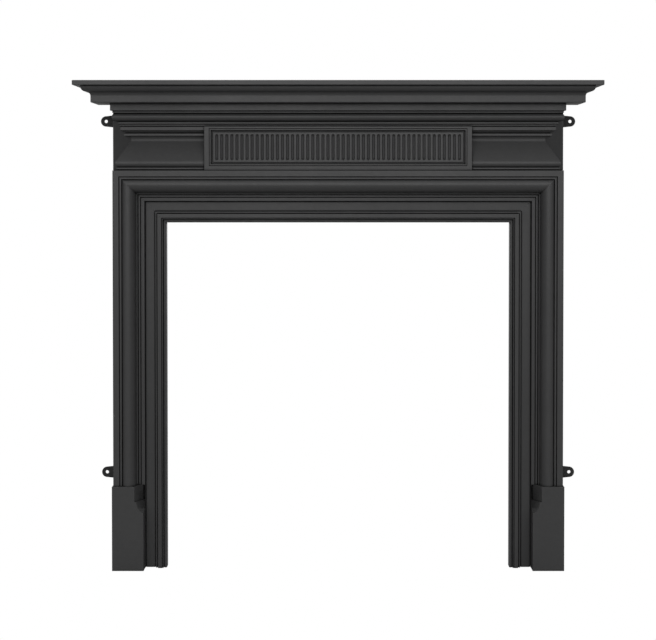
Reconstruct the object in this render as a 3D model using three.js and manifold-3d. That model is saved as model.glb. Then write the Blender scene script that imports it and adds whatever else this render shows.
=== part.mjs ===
// Cast iron fire surround: shelf, cornice, frieze with a fluted tablet, mitred architrave, plinth blocks.
// Millimetres. +X is the viewer's right, -Y the room, +Z up. The origin is on the hearth, in the middle of
// the width and of the depth. Projections are measured from the wall, which is the surround's back plane.

import * as THREE from 'three';
import { mergeVertices } from 'three/addons/utils/BufferGeometryUtils.js';
import Module from 'manifold-3d';

const wasm = await Module();
wasm.setup();

// Castings in general
const castWall = 6;                  // wall of the hollow castings
const seatGap = 0.3;                 // clearance wherever two pieces meet
const flangeThickness = 8;           // mitre flanges, tablet ribs and lug pads
const arcSteps = 4;                  // facets in an eighth turn of a moulding

// Fire opening
const openingWidth = 914;
const openingHeight = 921;
const rebateDepth = 35;              // the opening's return stops this far from the wall, for an insert

// Architrave members from the opening outwards: width across the face, projection from the wall
const sightFilletWidth = 6.6;
const sightFilletProjection = 71;
const sightRound = 3;
const sightBeadWidth = 6;
const sightFlatWidth = 12.4;
const sightProjection = 80;
const sightStepWidth = 6.2;
const sightStepProjection = 72.5;
const flatBandWidth = 26;
const flatBandProjection = 65;
const beadWidth = 8.8;
const beadProjection = 79;
const lowerFilletWidth = 6.6;
const lowerFilletProjection = 81.5;
const upperFilletWidth = 6.4;
const upperFilletProjection = 86;
const torusInnerWidth = 21;
const torusInnerRise = 25;           // from the crease where the big torus springs up to its crest
const torusProjection = 115;
const torusOuterWidth = 12.6;
const torusOuterDrop = 8;
const outerFilletWidth = 7.2;
const outerFilletProjection = 108.5;
const outerBandWidth = 18.2;
const outerBandProjection = 111;
const outerRound = 2;
const quirkWidth = 1.2;              // fine grooves between members
const quirkDepth = 2.4;

// Frieze: heights upwards, projections from the wall
const friezeSetback = 1.5;           // its sides stand in from the architrave's sides
const footRecessHeight = 2.6;
const footRecessProjection = 95;
const footFilletHeight = 4.6;
const footFilletProjection = 98.5;
const noseRise = 2.26;               // from the foot fillet up to where the nose starts
const noseRadius = 13;
const coveRadius = 66;
const coveDeepProjection = 72;
const coveHeadHeight = 12;           // from the deepest line to the cove's top
const coveTurn = 50.6;               // degrees that the cove turns before the nose takes over
const noseUnderTurn = 45;            // degrees that the nose turns under
const lowFriezeFilletHeight = 6;
const lowFriezeFilletProjection = 79;
const cavettoQuirkHeight = 2.8;
const cavettoQuirkProjection = 76.5;
const cavettoHeight = 5.4;
const cavettoFootProjection = 80;
const lowBandHeight = 9.4;
const lowBandProjection = 90;
const thinQuirkHeight = 2.2;
const thinQuirkProjection = 87;
const thinFilletHeight = 3.4;
const thinFilletProjection = 92.5;
const midQuirkHeight = 1.7;
const midQuirkProjection = 90.5;
const highFilletHeight = 5.6;
const highFilletProjection = 95;
const torusQuirkHeight = 2.2;
const torusQuirkProjection = 92.5;
const friezeTorusRadius = 9.6;
const friezeTorusProjection = 108.3;
const neckQuirkHeight = 2;
const neckQuirkProjection = 98;
const neckFilletHeight = 4;
const neckFilletProjection = 106.5;
const bandQuirkHeight = 1.8;
const bandQuirkProjection = 104;
const friezeBandHeight = 18.7;
const cheekProjection = 105;         // front edge of the splayed end cheeks
const cheekSplayDepth = 42;          // how far the 45 degree splay runs back
const bandStep = 7;                  // the top band beyond the cheeks

// Cornice: heights upwards, steps outwards (to the front and to both sides)
const fasciaStep = 45.4;
const fasciaHeight = 17;
const fasciaRound = 2;
const cavettoRadius = 11;
const ovoloRadius = 12.4;
const corniceTopFilletHeight = 3;
const bossRadius = 11;

// Shelf
const shelfNosing = 19.4;            // the shelf beyond the cornice
const shelfThickness = 12.5;
const shelfEdgeRound = 2.5;

// Tablet in the middle of the frieze
const tabletWidth = 706;
const tabletHeight = 115.2;
const tabletProjection = 106;
const tabletDepth = 62;              // front face to the back edge of its sides
const tabletLipDepth = 20;           // its front edge hangs down before the frieze's foot flange
const tabletSideRail = 16.8;         // outer edge to the edge of the recess
const tabletTopRail = 9.2;
const tabletBottomRail = 15.4;
const railGrooveInset = 2.6;         // bead between the recess and the fine groove
const railGrooveWidth = 1.4;
const railGrooveDepth = 1.4;
const recessStepDepth = 4.5;
const recessStepWidth = 4.2;
const fieldDepth = 9;                // of the fluted field behind the tablet's face
const flutePitch = 13.35;
const fluteWidth = 7.8;
const fluteLength = 68.5;
const fluteSides = 8;                // facets of a whole turn, with two of them upright at the field's face
const fluteMargin = 4.2;             // least plain strip beside the end flutes

// Plinth blocks
const plinthHeight = 223;
const plinthStep = 4;                // beyond the architrave's torus
const plinthSideStep = 3;            // beyond the architrave's side
const plinthRound = 1.5;
const footThickness = 8;
const chamferFace = 24;              // what the chamfer takes off the front face
const chamferReturn = 52;            // and off the inner side
const chamferLength = 40.5;          // straight run down from the top
const stopShoulder = 0.786;          // the stop starts at this share of the chamfer's width
const stopHeight = 29;

// Wall lugs
const lugThickness = 5;
const lugReach = 28.5;               // architrave's side to the hole
const lugTipRadius = 14;
const lugBaseHalf = 17;
const lugTail = 46;                  // part behind the casting
const lugHoleRadius = 4.5;
const lowerLugRise = 23;             // above the plinth block
const upperLugRise = 132.2;          // above the frieze's foot
const lugPadHalf = 19;

// Fasteners
const smallBolt = { radius: 4, headRadius: 7.5, headHeight: 5.3, nutHeight: 6.5, tail: 3 };
const shelfBolt = { radius: 5, headRadius: 9.8, headHeight: 6.4 };
const boltSides = 8;                 // facets of shanks and their holes
const shelfThread = 8;               // depth of the tapped holes under the shelf
const innerShelfBoltX = 180;
const outerShelfBoltInset = 73.5;    // from the frieze's side
const shelfBoltProjection = 84;
const innerFriezeBoltGap = 97;       // beyond the tablet's side
const outerFriezeBoltInset = 63.5;   // from the frieze's side
const friezeBoltProjection = 68;
const mitreBoltInset = [45, 108];    // along the face, from the opening
const mitreBoltProjection = 47;
const plinthBoltInset = 36;          // from the block's inner side
const plinthBoltProjections = [30, 75];
const tabletBoltHeights = [36, 84];  // above the frieze's foot
const tabletBoltInset = 10;          // from the back edge of the tablet's sides
const lugBoltInset = 28;
const lugScrewSetback = 1;           // its tip stops this short of the wall

// Places that follow from the sizes
const openingHalf = openingWidth / 2;
const bandFoot = sightFilletWidth + sightBeadWidth + sightFlatWidth + sightStepWidth;
const beadFoot = bandFoot + flatBandWidth;
const creaseFoot = beadFoot + beadWidth + lowerFilletWidth + upperFilletWidth;
const torusCrest = creaseFoot + torusInnerWidth;
const torusEnd = torusCrest + torusOuterWidth;
const outerBandFoot = torusEnd + outerFilletWidth;
const faceWidth = outerBandFoot + outerBandWidth;
const frameHalf = openingHalf + faceWidth;
const frameTop = openingHeight + faceWidth;
const friezeFoot = frameTop + seatGap;
const friezeHalf = frameHalf - friezeSetback;
const sideStep = friezeHalf - cheekProjection;      // turns a front projection into a half width
const bandProjection = cheekProjection + bandStep;
const fasciaProjection = bandProjection + fasciaStep;
const corniceProjection = fasciaProjection + cavettoRadius + ovoloRadius;
const shelfProjection = corniceProjection + shelfNosing;
const wallY = shelfProjection / 2;
const creaseProjection = torusProjection - torusInnerRise;
const torusFootProjection = torusProjection - torusOuterDrop;
const plinthProjection = torusProjection + plinthStep;
const lowerLugHeight = plinthHeight + lowerLugRise;
const upperLugHeight = friezeFoot + upperLugRise;
const coveTurnSine = Math.sin(THREE.MathUtils.degToRad(coveTurn));
const noseUnderSine = Math.sin(THREE.MathUtils.degToRad(noseUnderTurn));
const noseAxisHeight = footRecessHeight + footFilletHeight + noseRise + noseRadius * noseUnderSine;
const coveDeepHeight = noseAxisHeight + (coveRadius + noseRadius) * coveTurnSine;
const cavettoTop = coveDeepHeight + coveHeadHeight + lowFriezeFilletHeight + cavettoQuirkHeight
  + cavettoHeight;
const filletsTop = cavettoTop + lowBandHeight + thinQuirkHeight + thinFilletHeight + midQuirkHeight
  + highFilletHeight;
const torusFoot = friezeFoot + filletsTop + torusQuirkHeight;
const neckFoot = torusFoot + 2 * friezeTorusRadius;
const friezeTop = neckFoot + neckQuirkHeight + neckFilletHeight + bandQuirkHeight + friezeBandHeight;
const corniceFoot = friezeTop + seatGap;
const cavettoFoot = corniceFoot + fasciaHeight;
const corniceTop = cavettoFoot + cavettoRadius + ovoloRadius + corniceTopFilletHeight;
const shelfFoot = corniceTop + seatGap;
const shelfTop = shelfFoot + shelfThickness;
const tabletHalf = tabletWidth / 2;
const friezeBoltSpacing = [tabletHalf + innerFriezeBoltGap, friezeHalf - outerFriezeBoltInset];
const shelfBoltSpacing = [innerShelfBoltX, friezeHalf - outerShelfBoltInset];
const tabletFoot = friezeFoot + seatGap;
const tabletSeat = friezeFoot + castWall + seatGap; // the tablet's back part clears the frieze's foot flange
const tabletTop = tabletFoot + tabletHeight;
const tabletBack = tabletProjection - tabletDepth;
const reach = 3 * shelfTop;                         // longer than anything that it cuts

const ironColour = { color: 0x3b3c3d, roughness: 0.5, metalness: 0.35 };
const steelColour = { color: 0x6f7275, roughness: 0.4, metalness: 0.8 };

const surround = new THREE.Group();

function addPiece(name, geometry, colour) {
  const mesh = new THREE.Mesh(geometry, new THREE.MeshStandardMaterial(colour));
  mesh.name = name;
  surround.add(mesh);
}

// Solids: three.js geometry to a manifold and back

function solidOf(geometry) {
  const bare = geometry.clone();
  bare.deleteAttribute('normal');
  bare.deleteAttribute('uv');
  const merged = mergeVertices(bare, 1e-4);
  const vertProperties = new Float32Array(merged.attributes.position.array);
  const triVerts = new Uint32Array(merged.index.array);
  return new wasm.Manifold(new wasm.Mesh({ numProp: 3, vertProperties, triVerts }));
}

function geometryOf(solid) {
  const { vertProperties, triVerts } = solid.getMesh();
  const geometry = new THREE.BufferGeometry();
  geometry.setAttribute('position', new THREE.BufferAttribute(vertProperties, 3));
  geometry.setIndex(new THREE.BufferAttribute(triVerts, 1));
  geometry.computeVertexNormals();
  return geometry;
}

const join = (...solids) => solids.reduce((whole, solid) => whole.add(solid));
const cut = (solid, ...tools) => tools.reduce((rest, tool) => rest.subtract(tool), solid);

function turnedInsideOut(geometry) {
  const indices = geometry.index.array;
  for (let i = 0; i < indices.length; i += 3) {
    [indices[i], indices[i + 1]] = [indices[i + 1], indices[i]];
  }
  return geometry;
}

// The same piece for the other side of the surround
function mirrored(geometry) {
  const copy = geometry.clone().applyMatrix4(new THREE.Matrix4().makeScale(-1, 1, 1));
  return turnedInsideOut(copy);
}

// Extrudes an outline: its x runs along `across`, its y along `up`, and the length along `along`
function swept(points, across, up, along, origin, length) {
  const options = { depth: length, bevelEnabled: false };
  const flat = new THREE.ExtrudeGeometry(new THREE.Shape(points), options);
  flat.deleteAttribute('normal');
  flat.deleteAttribute('uv');
  const bar = mergeVertices(flat, 1e-4);
  const frame = new THREE.Matrix4().makeBasis(across, up, along).setPosition(origin);
  bar.applyMatrix4(frame);
  return solidOf(frame.determinant() < 0 ? turnedInsideOut(bar) : bar);
}

const right = new THREE.Vector3(1, 0, 0);
const room = new THREE.Vector3(0, -1, 0);
const above = new THREE.Vector3(0, 0, 1);

// An outline of projection and height, run along the width between two half widths
const alongWidth = (points, half) =>
  swept(points, room, above, right, new THREE.Vector3(-half, wallY, 0), 2 * half);

// An outline of x and height, run from the wall into the room
const alongDepth = (points, from, to) =>
  swept(points, right, above, room, new THREE.Vector3(0, wallY - from, 0), to - from);

// An outline of x and projection, run upwards
const alongHeight = (points, from, to) =>
  swept(points, right, room, above, new THREE.Vector3(0, wallY, from), to - from);

// A block between two x, two projections and two heights
function block(x0, x1, near, far, z0, z1) {
  const box = new THREE.BoxGeometry(x1 - x0, far - near, z1 - z0);
  return solidOf(box.translate((x0 + x1) / 2, wallY - (near + far) / 2, (z0 + z1) / 2));
}

// A round or hexagonal rod from `start` along `direction`
function rod(start, direction, radius, length, sides) {
  const bar = new THREE.CylinderGeometry(radius, radius, length, sides);
  bar.translate(0, length / 2, 0);
  bar.applyQuaternion(new THREE.Quaternion().setFromUnitVectors(new THREE.Vector3(0, 1, 0), direction));
  return solidOf(bar.translate(start.x, start.y, start.z));
}

const at = (x, projection, z) => new THREE.Vector3(x, wallY - projection, z);

// Outlines are points of projection (or x) and height. Curves come from three.js paths.

const outlineOf = (path) => path.getPoints(arcSteps);

// Architrave face from the foot of the opening's return round to the back of the outer side.
// x is the distance from the opening, y the projection from the wall.
function architraveFace() {
  const path = new THREE.Path();
  const quirk = (x, before, after) => {
    path.lineTo(x, before);
    path.lineTo(x + quirkWidth / 2, Math.min(before, after) - quirkDepth);
    path.lineTo(x + quirkWidth, after);
  };
  let x = 0;
  path.moveTo(0, rebateDepth);
  path.lineTo(0, sightFilletProjection - sightRound);
  path.absarc(sightRound, sightFilletProjection - sightRound, sightRound, Math.PI, Math.PI / 2, true);
  x += sightFilletWidth;
  quirk(x, sightFilletProjection, sightProjection);
  x += sightBeadWidth;
  quirk(x - quirkWidth, sightProjection, sightProjection);
  x += sightFlatWidth;
  path.lineTo(x, sightProjection);
  path.lineTo(x, sightStepProjection);
  path.lineTo(bandFoot, sightStepProjection);
  path.lineTo(bandFoot, flatBandProjection);
  path.lineTo(beadFoot, flatBandProjection);
  path.lineTo(beadFoot, beadProjection);
  x = beadFoot + beadWidth;
  quirk(x, beadProjection, lowerFilletProjection);
  x += lowerFilletWidth;
  path.lineTo(x, lowerFilletProjection);
  path.lineTo(x, upperFilletProjection);
  path.lineTo(creaseFoot, upperFilletProjection);
  path.lineTo(creaseFoot, creaseProjection);
  const innerRise = torusProjection - creaseProjection;
  const outerRise = torusProjection - torusFootProjection;
  path.absellipse(torusCrest, creaseProjection, torusInnerWidth, innerRise, Math.PI, Math.PI / 2, true);
  path.absellipse(torusCrest, torusFootProjection, torusOuterWidth, outerRise, Math.PI / 2, 0, true);
  quirk(torusEnd, torusFootProjection, outerFilletProjection);
  quirk(outerBandFoot, outerFilletProjection, outerBandProjection);
  const corner = outerBandProjection - outerRound;
  path.absarc(faceWidth - outerRound, corner, outerRound, Math.PI / 2, 0, true);
  return outlineOf(path);
}

// Back of the casting wall, from the outer side to the foot of the opening's return
function architraveBack() {
  const highBack = torusFootProjection - castWall;
  const filletBack = upperFilletProjection - castWall;
  const beadBack = beadProjection - castWall;
  const bandBack = flatBandProjection - castWall;
  const sightBack = sightProjection - castWall - quirkDepth / 2;
  const sightEdge = sightFilletWidth + sightBeadWidth + sightFlatWidth;
  return [
    [faceWidth - castWall, 0],
    [faceWidth - castWall, highBack],
    [creaseFoot + 2 * castWall, highBack],
    [creaseFoot + castWall, filletBack],
    [creaseFoot, beadBack],
    [beadFoot + castWall, beadBack],
    [beadFoot + castWall, bandBack],
    [sightEdge + quirkWidth, bandBack],
    [sightEdge - castWall, sightBack],
    [sightFilletWidth + castWall, sightBack],
    [castWall, sightFilletProjection - castWall],
    [castWall, rebateDepth],
  ].map(([x, y]) => new THREE.Vector2(x, y));
}

const hollowArchitrave = () => [...architraveFace(), new THREE.Vector2(faceWidth, 0), ...architraveBack()];

const filledArchitrave = () =>
  [...architraveFace(), new THREE.Vector2(faceWidth, 0), new THREE.Vector2(0, 0)];

// Frieze front, upwards: x is the projection, y the height
function friezeOutline() {
  const deep = friezeFoot + coveDeepHeight;
  const turn = THREE.MathUtils.degToRad(coveTurn);
  const under = THREE.MathUtils.degToRad(noseUnderTurn);
  const coveCentre = coveDeepProjection + coveRadius;
  const noseAxis = coveCentre - (coveRadius + noseRadius) * Math.cos(turn);
  const noseHeight = friezeFoot + noseAxisHeight;
  const path = new THREE.Path();
  let z = friezeFoot;
  const member = (projection, height) => {
    path.lineTo(projection, z);
    z += height;
    path.lineTo(projection, z);
  };
  path.moveTo(footRecessProjection, z);
  z += footRecessHeight;
  path.lineTo(footRecessProjection, z);
  member(footFilletProjection, footFilletHeight);
  path.lineTo(footRecessProjection, z);
  path.absarc(noseAxis, noseHeight, noseRadius, -under, turn, false);
  path.absarc(coveCentre, deep, coveRadius, Math.PI + turn, Math.PI - coveHeadAngle(), true);
  z = deep + coveHeadHeight;
  member(lowFriezeFilletProjection, lowFriezeFilletHeight);
  member(cavettoQuirkProjection, cavettoQuirkHeight);
  path.lineTo(cavettoFootProjection, z);
  z += cavettoHeight;
  const run = lowBandProjection - cavettoFootProjection;
  path.absellipse(lowBandProjection, z - cavettoHeight, run, cavettoHeight, Math.PI, Math.PI / 2, true);
  member(lowBandProjection, lowBandHeight);
  member(thinQuirkProjection, thinQuirkHeight);
  member(thinFilletProjection, thinFilletHeight);
  member(midQuirkProjection, midQuirkHeight);
  member(highFilletProjection, highFilletHeight);
  member(torusQuirkProjection, torusQuirkHeight);
  const torusAxis = friezeTorusProjection - friezeTorusRadius;
  path.absarc(torusAxis, z + friezeTorusRadius, friezeTorusRadius, -Math.PI / 2, Math.PI / 2, false);
  z += 2 * friezeTorusRadius;
  member(neckQuirkProjection, neckQuirkHeight);
  member(neckFilletProjection, neckFilletHeight);
  member(bandQuirkProjection, bandQuirkHeight);
  member(cheekProjection + bandStep, friezeBandHeight);
  return outlineOf(path);
}

// Angle from the cove's deepest line up to its top
function coveHeadAngle() {
  return Math.asin(coveHeadHeight / coveRadius);
}

// Back of the frieze's casting wall, upwards
function friezeBack() {
  const deep = friezeFoot + coveDeepHeight;
  const coveCentre = coveDeepProjection + coveRadius;
  const backRadius = coveRadius + castWall;
  const noseBack = footRecessProjection - castWall;
  const start = Math.acos((coveCentre - noseBack) / backRadius);
  const quirkBack = cavettoQuirkProjection - castWall;
  const bandBack = thinQuirkProjection - castWall;
  const torusBack = torusQuirkProjection - castWall;
  const neckBack = neckQuirkProjection - 2 * castWall;
  const headBack = bandQuirkProjection - castWall;
  const coveTop = deep + coveHeadHeight;
  const cavettoEnd = friezeFoot + cavettoTop;
  const path = new THREE.Path();
  path.moveTo(-castWall, friezeFoot + castWall);
  path.lineTo(noseBack, friezeFoot + castWall);
  path.absarc(coveCentre, deep, backRadius, Math.PI + start, Math.PI - coveHeadAngle() / 2, true);
  path.lineTo(quirkBack, coveTop + castWall);
  path.lineTo(quirkBack, coveTop + lowFriezeFilletHeight + cavettoQuirkHeight);
  path.lineTo(bandBack, cavettoEnd + castWall);
  path.lineTo(bandBack, torusFoot - castWall);
  path.lineTo(torusBack, torusFoot);
  path.lineTo(neckBack, neckFoot);
  path.lineTo(headBack, neckFoot + castWall + neckQuirkHeight);
  path.lineTo(headBack, friezeTop - castWall);
  path.lineTo(-castWall, friezeTop - castWall);
  return outlineOf(path);
}

// A moulding's outline as the silhouette of both sides, for returning it along them
function bothSides(outline) {
  const rightSide = outline.map(({ x, y }) => new THREE.Vector2(sideStep + x, y));
  const leftSide = rightSide.map(({ x, y }) => new THREE.Vector2(-x, y)).reverse();
  return [...rightSide, ...leftSide];
}

// A moulding that runs along the front and is returned, mitred, along both sides
function returned(outline) {
  const [foot, top] = [outline[0], outline[outline.length - 1]];
  const front = [new THREE.Vector2(0, foot.y), ...outline, new THREE.Vector2(0, top.y)];
  return alongWidth(front, shelfTop).intersect(alongDepth(bothSides(outline), 0, shelfTop));
}

const bothEnds = (solid) => join(solid, solidOf(mirrored(geometryOf(solid))));

// Upright bores at these x on both sides of the middle
function uprightBores(spacing, projection, radius, from, to) {
  const bores = spacing.flatMap((x) => [-x, x].map((side) =>
    rod(at(side, projection, from), above, radius, to - from, boltSides)));
  return join(...bores);
}

// The slice of space between two planes parallel to the right-hand mitre; offsets grow towards the lintel
function mitreSlice(from, to) {
  const slice = new THREE.BoxGeometry(4 * faceWidth, 4 * faceWidth, to - from);
  slice.translate(0, 0, (from + to) / 2).rotateY(-Math.PI / 4);
  return solidOf(slice.translate(openingHalf, 0, openingHeight));
}

// What the mitre flanges leave free behind the opening's return
const rebate = block(-reach, reach, -castWall, rebateDepth, 0, reach);

const towardsLeg = new THREE.Vector3(1, 0, -1).normalize();
const mitreSpot = (inset) => at(openingHalf + inset, mitreBoltProjection, openingHeight + inset);
const looseBore = smallBolt.radius + seatGap;

function mitreBores() {
  const half = flangeThickness + 2 * castWall;
  return join(...mitreBoltInset.map((inset) =>
    rod(mitreSpot(inset).addScaledVector(towardsLeg, -half), towardsLeg, looseBore, 2 * half, boltSides)));
}

// Right-hand leg: the moulded channel, its mitre flange, the plate on the plinth block and the lug's pad
function legGeometry() {
  const upright = (outline) =>
    alongHeight(outline.map(({ x, y }) => new THREE.Vector2(openingHalf + x, y)), 0, frameTop + castWall);
  const channel = upright(hollowArchitrave());
  const filled = upright(filledArchitrave());
  const flange = cut(filled.intersect(mitreSlice(-seatGap / 2 - flangeThickness, castWall)), rebate);
  const seat = plinthHeight + seatGap;
  const plate = block(openingHalf + beadFoot, reach, -castWall, reach, seat, seat + castWall);
  const aroundPlinth = block(openingHalf + beadFoot, reach, -castWall, reach, -castWall, seat);
  const body = join(channel, flange, filled.intersect(plate), lugPad(frameHalf, lowerLugHeight));
  return geometryOf(cut(body, mitreSlice(-seatGap / 2, faceWidth), aroundPlinth, mitreBores(),
    plinthBores(seat + 2 * castWall), lugNotch(lowerLugHeight), lugBore(lowerLugHeight)));
}

// Lintel: the same moulded channel on its side, with a mitre flange at each end
function lintelGeometry() {
  const level = (outline) =>
    alongWidth(outline.map(({ x, y }) => new THREE.Vector2(y, openingHeight + x)), frameHalf + castWall);
  const flangeSlice = mitreSlice(-castWall, seatGap / 2 + flangeThickness);
  const flange = cut(level(filledArchitrave()).intersect(flangeSlice), rebate);
  const bores = uprightBores(friezeBoltSpacing, friezeBoltProjection, looseBore,
    frameTop - 2 * castWall, frameTop + castWall);
  return geometryOf(cut(join(level(hollowArchitrave()), bothEnds(flange)),
    bothEnds(mitreSlice(-faceWidth, seatGap / 2)), bothEnds(mitreBores()), bores));
}

// Wall lugs and what holds them. Each pad stands in from the casting's side wall, over the lug's tail.
const lugBoltX = frameHalf - lugBoltInset;

const lugPad = (side, height) => block(frameHalf - lugTail, side - castWall / 2, lugThickness + seatGap,
  lugThickness + seatGap + flangeThickness, height - lugPadHalf, height + lugPadHalf);

const lugNotch = (height) => block(frameHalf - 2 * castWall, frameHalf + castWall, -castWall,
  lugThickness + seatGap, height - lugBaseHalf - seatGap, height + lugBaseHalf + seatGap);

const lugBore = (height) =>
  rod(at(lugBoltX, -castWall, height), room, looseBore, 4 * flangeThickness, boltSides);

function lugGeometry(height) {
  const hole = frameHalf + lugReach;
  const path = new THREE.Path();
  path.moveTo(frameHalf - lugTail, height - lugTipRadius);
  path.lineTo(frameHalf - castWall, height - lugBaseHalf);
  path.lineTo(frameHalf, height - lugBaseHalf);
  path.absarc(hole, height, lugTipRadius, -Math.PI / 2, Math.PI / 2, false);
  path.lineTo(frameHalf, height + lugBaseHalf);
  path.lineTo(frameHalf - castWall, height + lugBaseHalf);
  path.lineTo(frameHalf - lugTail, height + lugTipRadius);
  const plate = alongDepth(outlineOf(path), 0, lugThickness);
  const screwHole = rod(at(hole, -castWall, height), room, lugHoleRadius, 2 * flangeThickness, 2 * boltSides);
  return geometryOf(cut(plate, screwHole, lugBore(height)));
}

// Right-hand plinth block: a box open at the back, with a stopped chamfer on its inner front arris
const plinthInner = openingHalf + beadFoot + seatGap;
const plinthOuter = frameHalf + plinthSideStep;

const plinthBores = (to) => join(...plinthBoltProjections.map((projection) =>
  rod(at(plinthInner + plinthBoltInset, projection, plinthHeight - 2 * castWall), above, looseBore,
    to - plinthHeight + 2 * castWall, boltSides)));

// Cut with a level line across the chamfer: straight down from the top, a shoulder, then a round stop
function stoppedChamfer() {
  const slant = Math.hypot(chamferFace, chamferReturn);
  const deep = chamferFace * chamferReturn / slant;
  const along = new THREE.Vector3(-chamferFace, chamferReturn, 0).divideScalar(slant);
  const outward = new THREE.Vector3(-chamferReturn, -chamferFace, 0).divideScalar(slant);
  const shoulder = plinthHeight - chamferLength;
  const beyond = deep + castWall;
  const path = new THREE.Path();
  path.moveTo(beyond, plinthHeight + castWall);
  path.lineTo(0, plinthHeight + castWall);
  path.lineTo(0, shoulder);
  path.absellipse(deep, shoulder, deep * stopShoulder, stopHeight, Math.PI, 1.5 * Math.PI, false);
  path.lineTo(beyond, shoulder - stopHeight);
  const start = at(plinthInner + chamferFace, plinthProjection, 0).addScaledVector(along, -slant);
  return swept(outlineOf(path), outward, above, along, start, 3 * slant);
}

function plinthGeometry() {
  const path = new THREE.Path();
  const front = plinthProjection - plinthRound;
  path.moveTo(plinthOuter, 0);
  path.lineTo(plinthInner, 0);
  path.absarc(plinthInner + plinthRound, front, plinthRound, Math.PI, Math.PI / 2, true);
  path.absarc(plinthOuter - plinthRound, front, plinthRound, Math.PI / 2, 0, true);
  const box = alongHeight(outlineOf(path), 0, plinthHeight);
  // the hollow's front inner corner keeps one wall behind the chamfer
  const slant = Math.hypot(chamferFace, chamferReturn);
  const behind = 1 + castWall * slant / (chamferFace * chamferReturn);
  const hollow = [
    [plinthInner + castWall, -castWall],
    [plinthInner + castWall, plinthProjection - chamferReturn * (behind - castWall / chamferFace)],
    [plinthInner + chamferFace * (behind - castWall / chamferReturn), plinthProjection - castWall],
    [plinthOuter - castWall, plinthProjection - castWall],
    [plinthOuter - castWall, -castWall],
  ].map(([x, y]) => new THREE.Vector2(x, y));
  const inside = alongHeight(hollow, footThickness, plinthHeight - castWall);
  return geometryOf(cut(box, inside, stoppedChamfer(), plinthBores(plinthHeight + castWall)));
}

// Right-hand end cheek, splayed back at 45 degrees from its front edge; `wall` draws its hollow instead
function cheek(wall) {
  const run = wall * (1 + Math.SQRT2);
  const side = friezeHalf - wall;
  const inner = friezeHalf - cheekSplayDepth;
  const plan = [
    [side, -wall],
    [side, cheekProjection - run],
    [inner, cheekProjection - cheekSplayDepth - wall * Math.SQRT2],
    [inner, -wall],
  ].map(([x, y]) => new THREE.Vector2(x, y));
  return alongHeight(plan, friezeFoot + wall, torusFoot - wall);
}

function friezeGeometry() {
  const outline = friezeOutline();
  const front = alongWidth([new THREE.Vector2(0, friezeFoot), ...outline, new THREE.Vector2(0, friezeTop)],
    friezeHalf + castWall + bandStep);
  const sides = outline.map(({ x, y }) => new THREE.Vector2(Math.max(x, cheekProjection), y));
  const full = join(front, bothEnds(cheek(0)))
    .intersect(alongDepth(bothSides(sides), 0, bandProjection + castWall));
  const hollow = join(alongWidth(friezeBack(), friezeHalf - castWall), bothEnds(cheek(castWall)));
  const edge = tabletHalf + seatGap;
  const rib = block(edge, edge + flangeThickness, 0, reach, friezeFoot, friezeTop);
  const opening = block(-edge, edge, -castWall, reach, friezeFoot + castWall, tabletTop + seatGap);
  const lipBack = tabletProjection - tabletLipDepth - seatGap;
  const lipOpening = block(-edge, edge, lipBack, reach, friezeFoot - castWall, friezeFoot + 2 * castWall);
  const pads = bothEnds(lugPad(friezeHalf, upperLugHeight));
  const body = join(cut(full, hollow), full.intersect(bothEnds(rib)), pads);
  const footBores = uprightBores(friezeBoltSpacing, friezeBoltProjection, looseBore,
    friezeFoot - castWall, friezeFoot + 2 * castWall);
  const topBores = uprightBores(shelfBoltSpacing, shelfBoltProjection, shelfBore,
    friezeTop - 2 * castWall, friezeTop + castWall);
  const sideCuts = join(tabletBores(), lugNotch(upperLugHeight), lugBore(upperLugHeight));
  return geometryOf(cut(body, opening, lipOpening, bothEnds(sideCuts), footBores, topBores));
}

const shelfBore = shelfBolt.radius + seatGap;

// Cornice: fascia, cavetto and ovolo, upwards
function corniceOutline() {
  const path = new THREE.Path();
  const spring = cavettoFoot + cavettoRadius;
  const hollowEdge = fasciaProjection + cavettoRadius;
  path.absarc(fasciaProjection - fasciaRound, corniceFoot + fasciaRound, fasciaRound, -Math.PI / 2, 0, false);
  path.absarc(hollowEdge, cavettoFoot, cavettoRadius, Math.PI, Math.PI / 2, true);
  path.absarc(hollowEdge, spring + ovoloRadius, ovoloRadius, -Math.PI / 2, 0, false);
  path.lineTo(corniceProjection, corniceTop);
  return outlineOf(path);
}

function corniceGeometry() {
  const spring = cavettoFoot + cavettoRadius;
  const back = [
    [fasciaProjection - castWall, corniceFoot + castWall],
    [fasciaProjection - castWall, cavettoFoot + castWall],
    [fasciaProjection + castWall, spring + castWall],
    [corniceProjection - castWall, spring + ovoloRadius],
    [corniceProjection - castWall, corniceTop + castWall],
  ].map(([x, y]) => new THREE.Vector2(x, y));
  const foot = new THREE.Vector2(-castWall, corniceFoot + castWall);
  const head = new THREE.Vector2(-castWall, corniceTop + castWall);
  const hollow = alongWidth([foot, ...back, head], reach)
    .intersect(alongDepth(bothSides(back), -castWall, reach));
  const bosses = uprightBores(shelfBoltSpacing, shelfBoltProjection, bossRadius, corniceFoot, corniceTop);
  const bores = uprightBores(shelfBoltSpacing, shelfBoltProjection, shelfBore,
    corniceFoot - castWall, corniceTop + castWall);
  return geometryOf(cut(join(cut(returned(corniceOutline()), hollow), bosses), bores));
}

function shelfGeometry() {
  const path = new THREE.Path();
  const edge = shelfProjection - shelfEdgeRound;
  path.absarc(edge, shelfFoot + shelfEdgeRound, shelfEdgeRound, -Math.PI / 2, 0, false);
  path.absarc(edge, shelfTop - shelfEdgeRound, shelfEdgeRound, 0, Math.PI / 2, false);
  return geometryOf(cut(returned(outlineOf(path)), uprightBores(shelfBoltSpacing, shelfBoltProjection,
    shelfBore, shelfFoot - castWall, shelfFoot + shelfThread + seatGap)));
}

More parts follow.
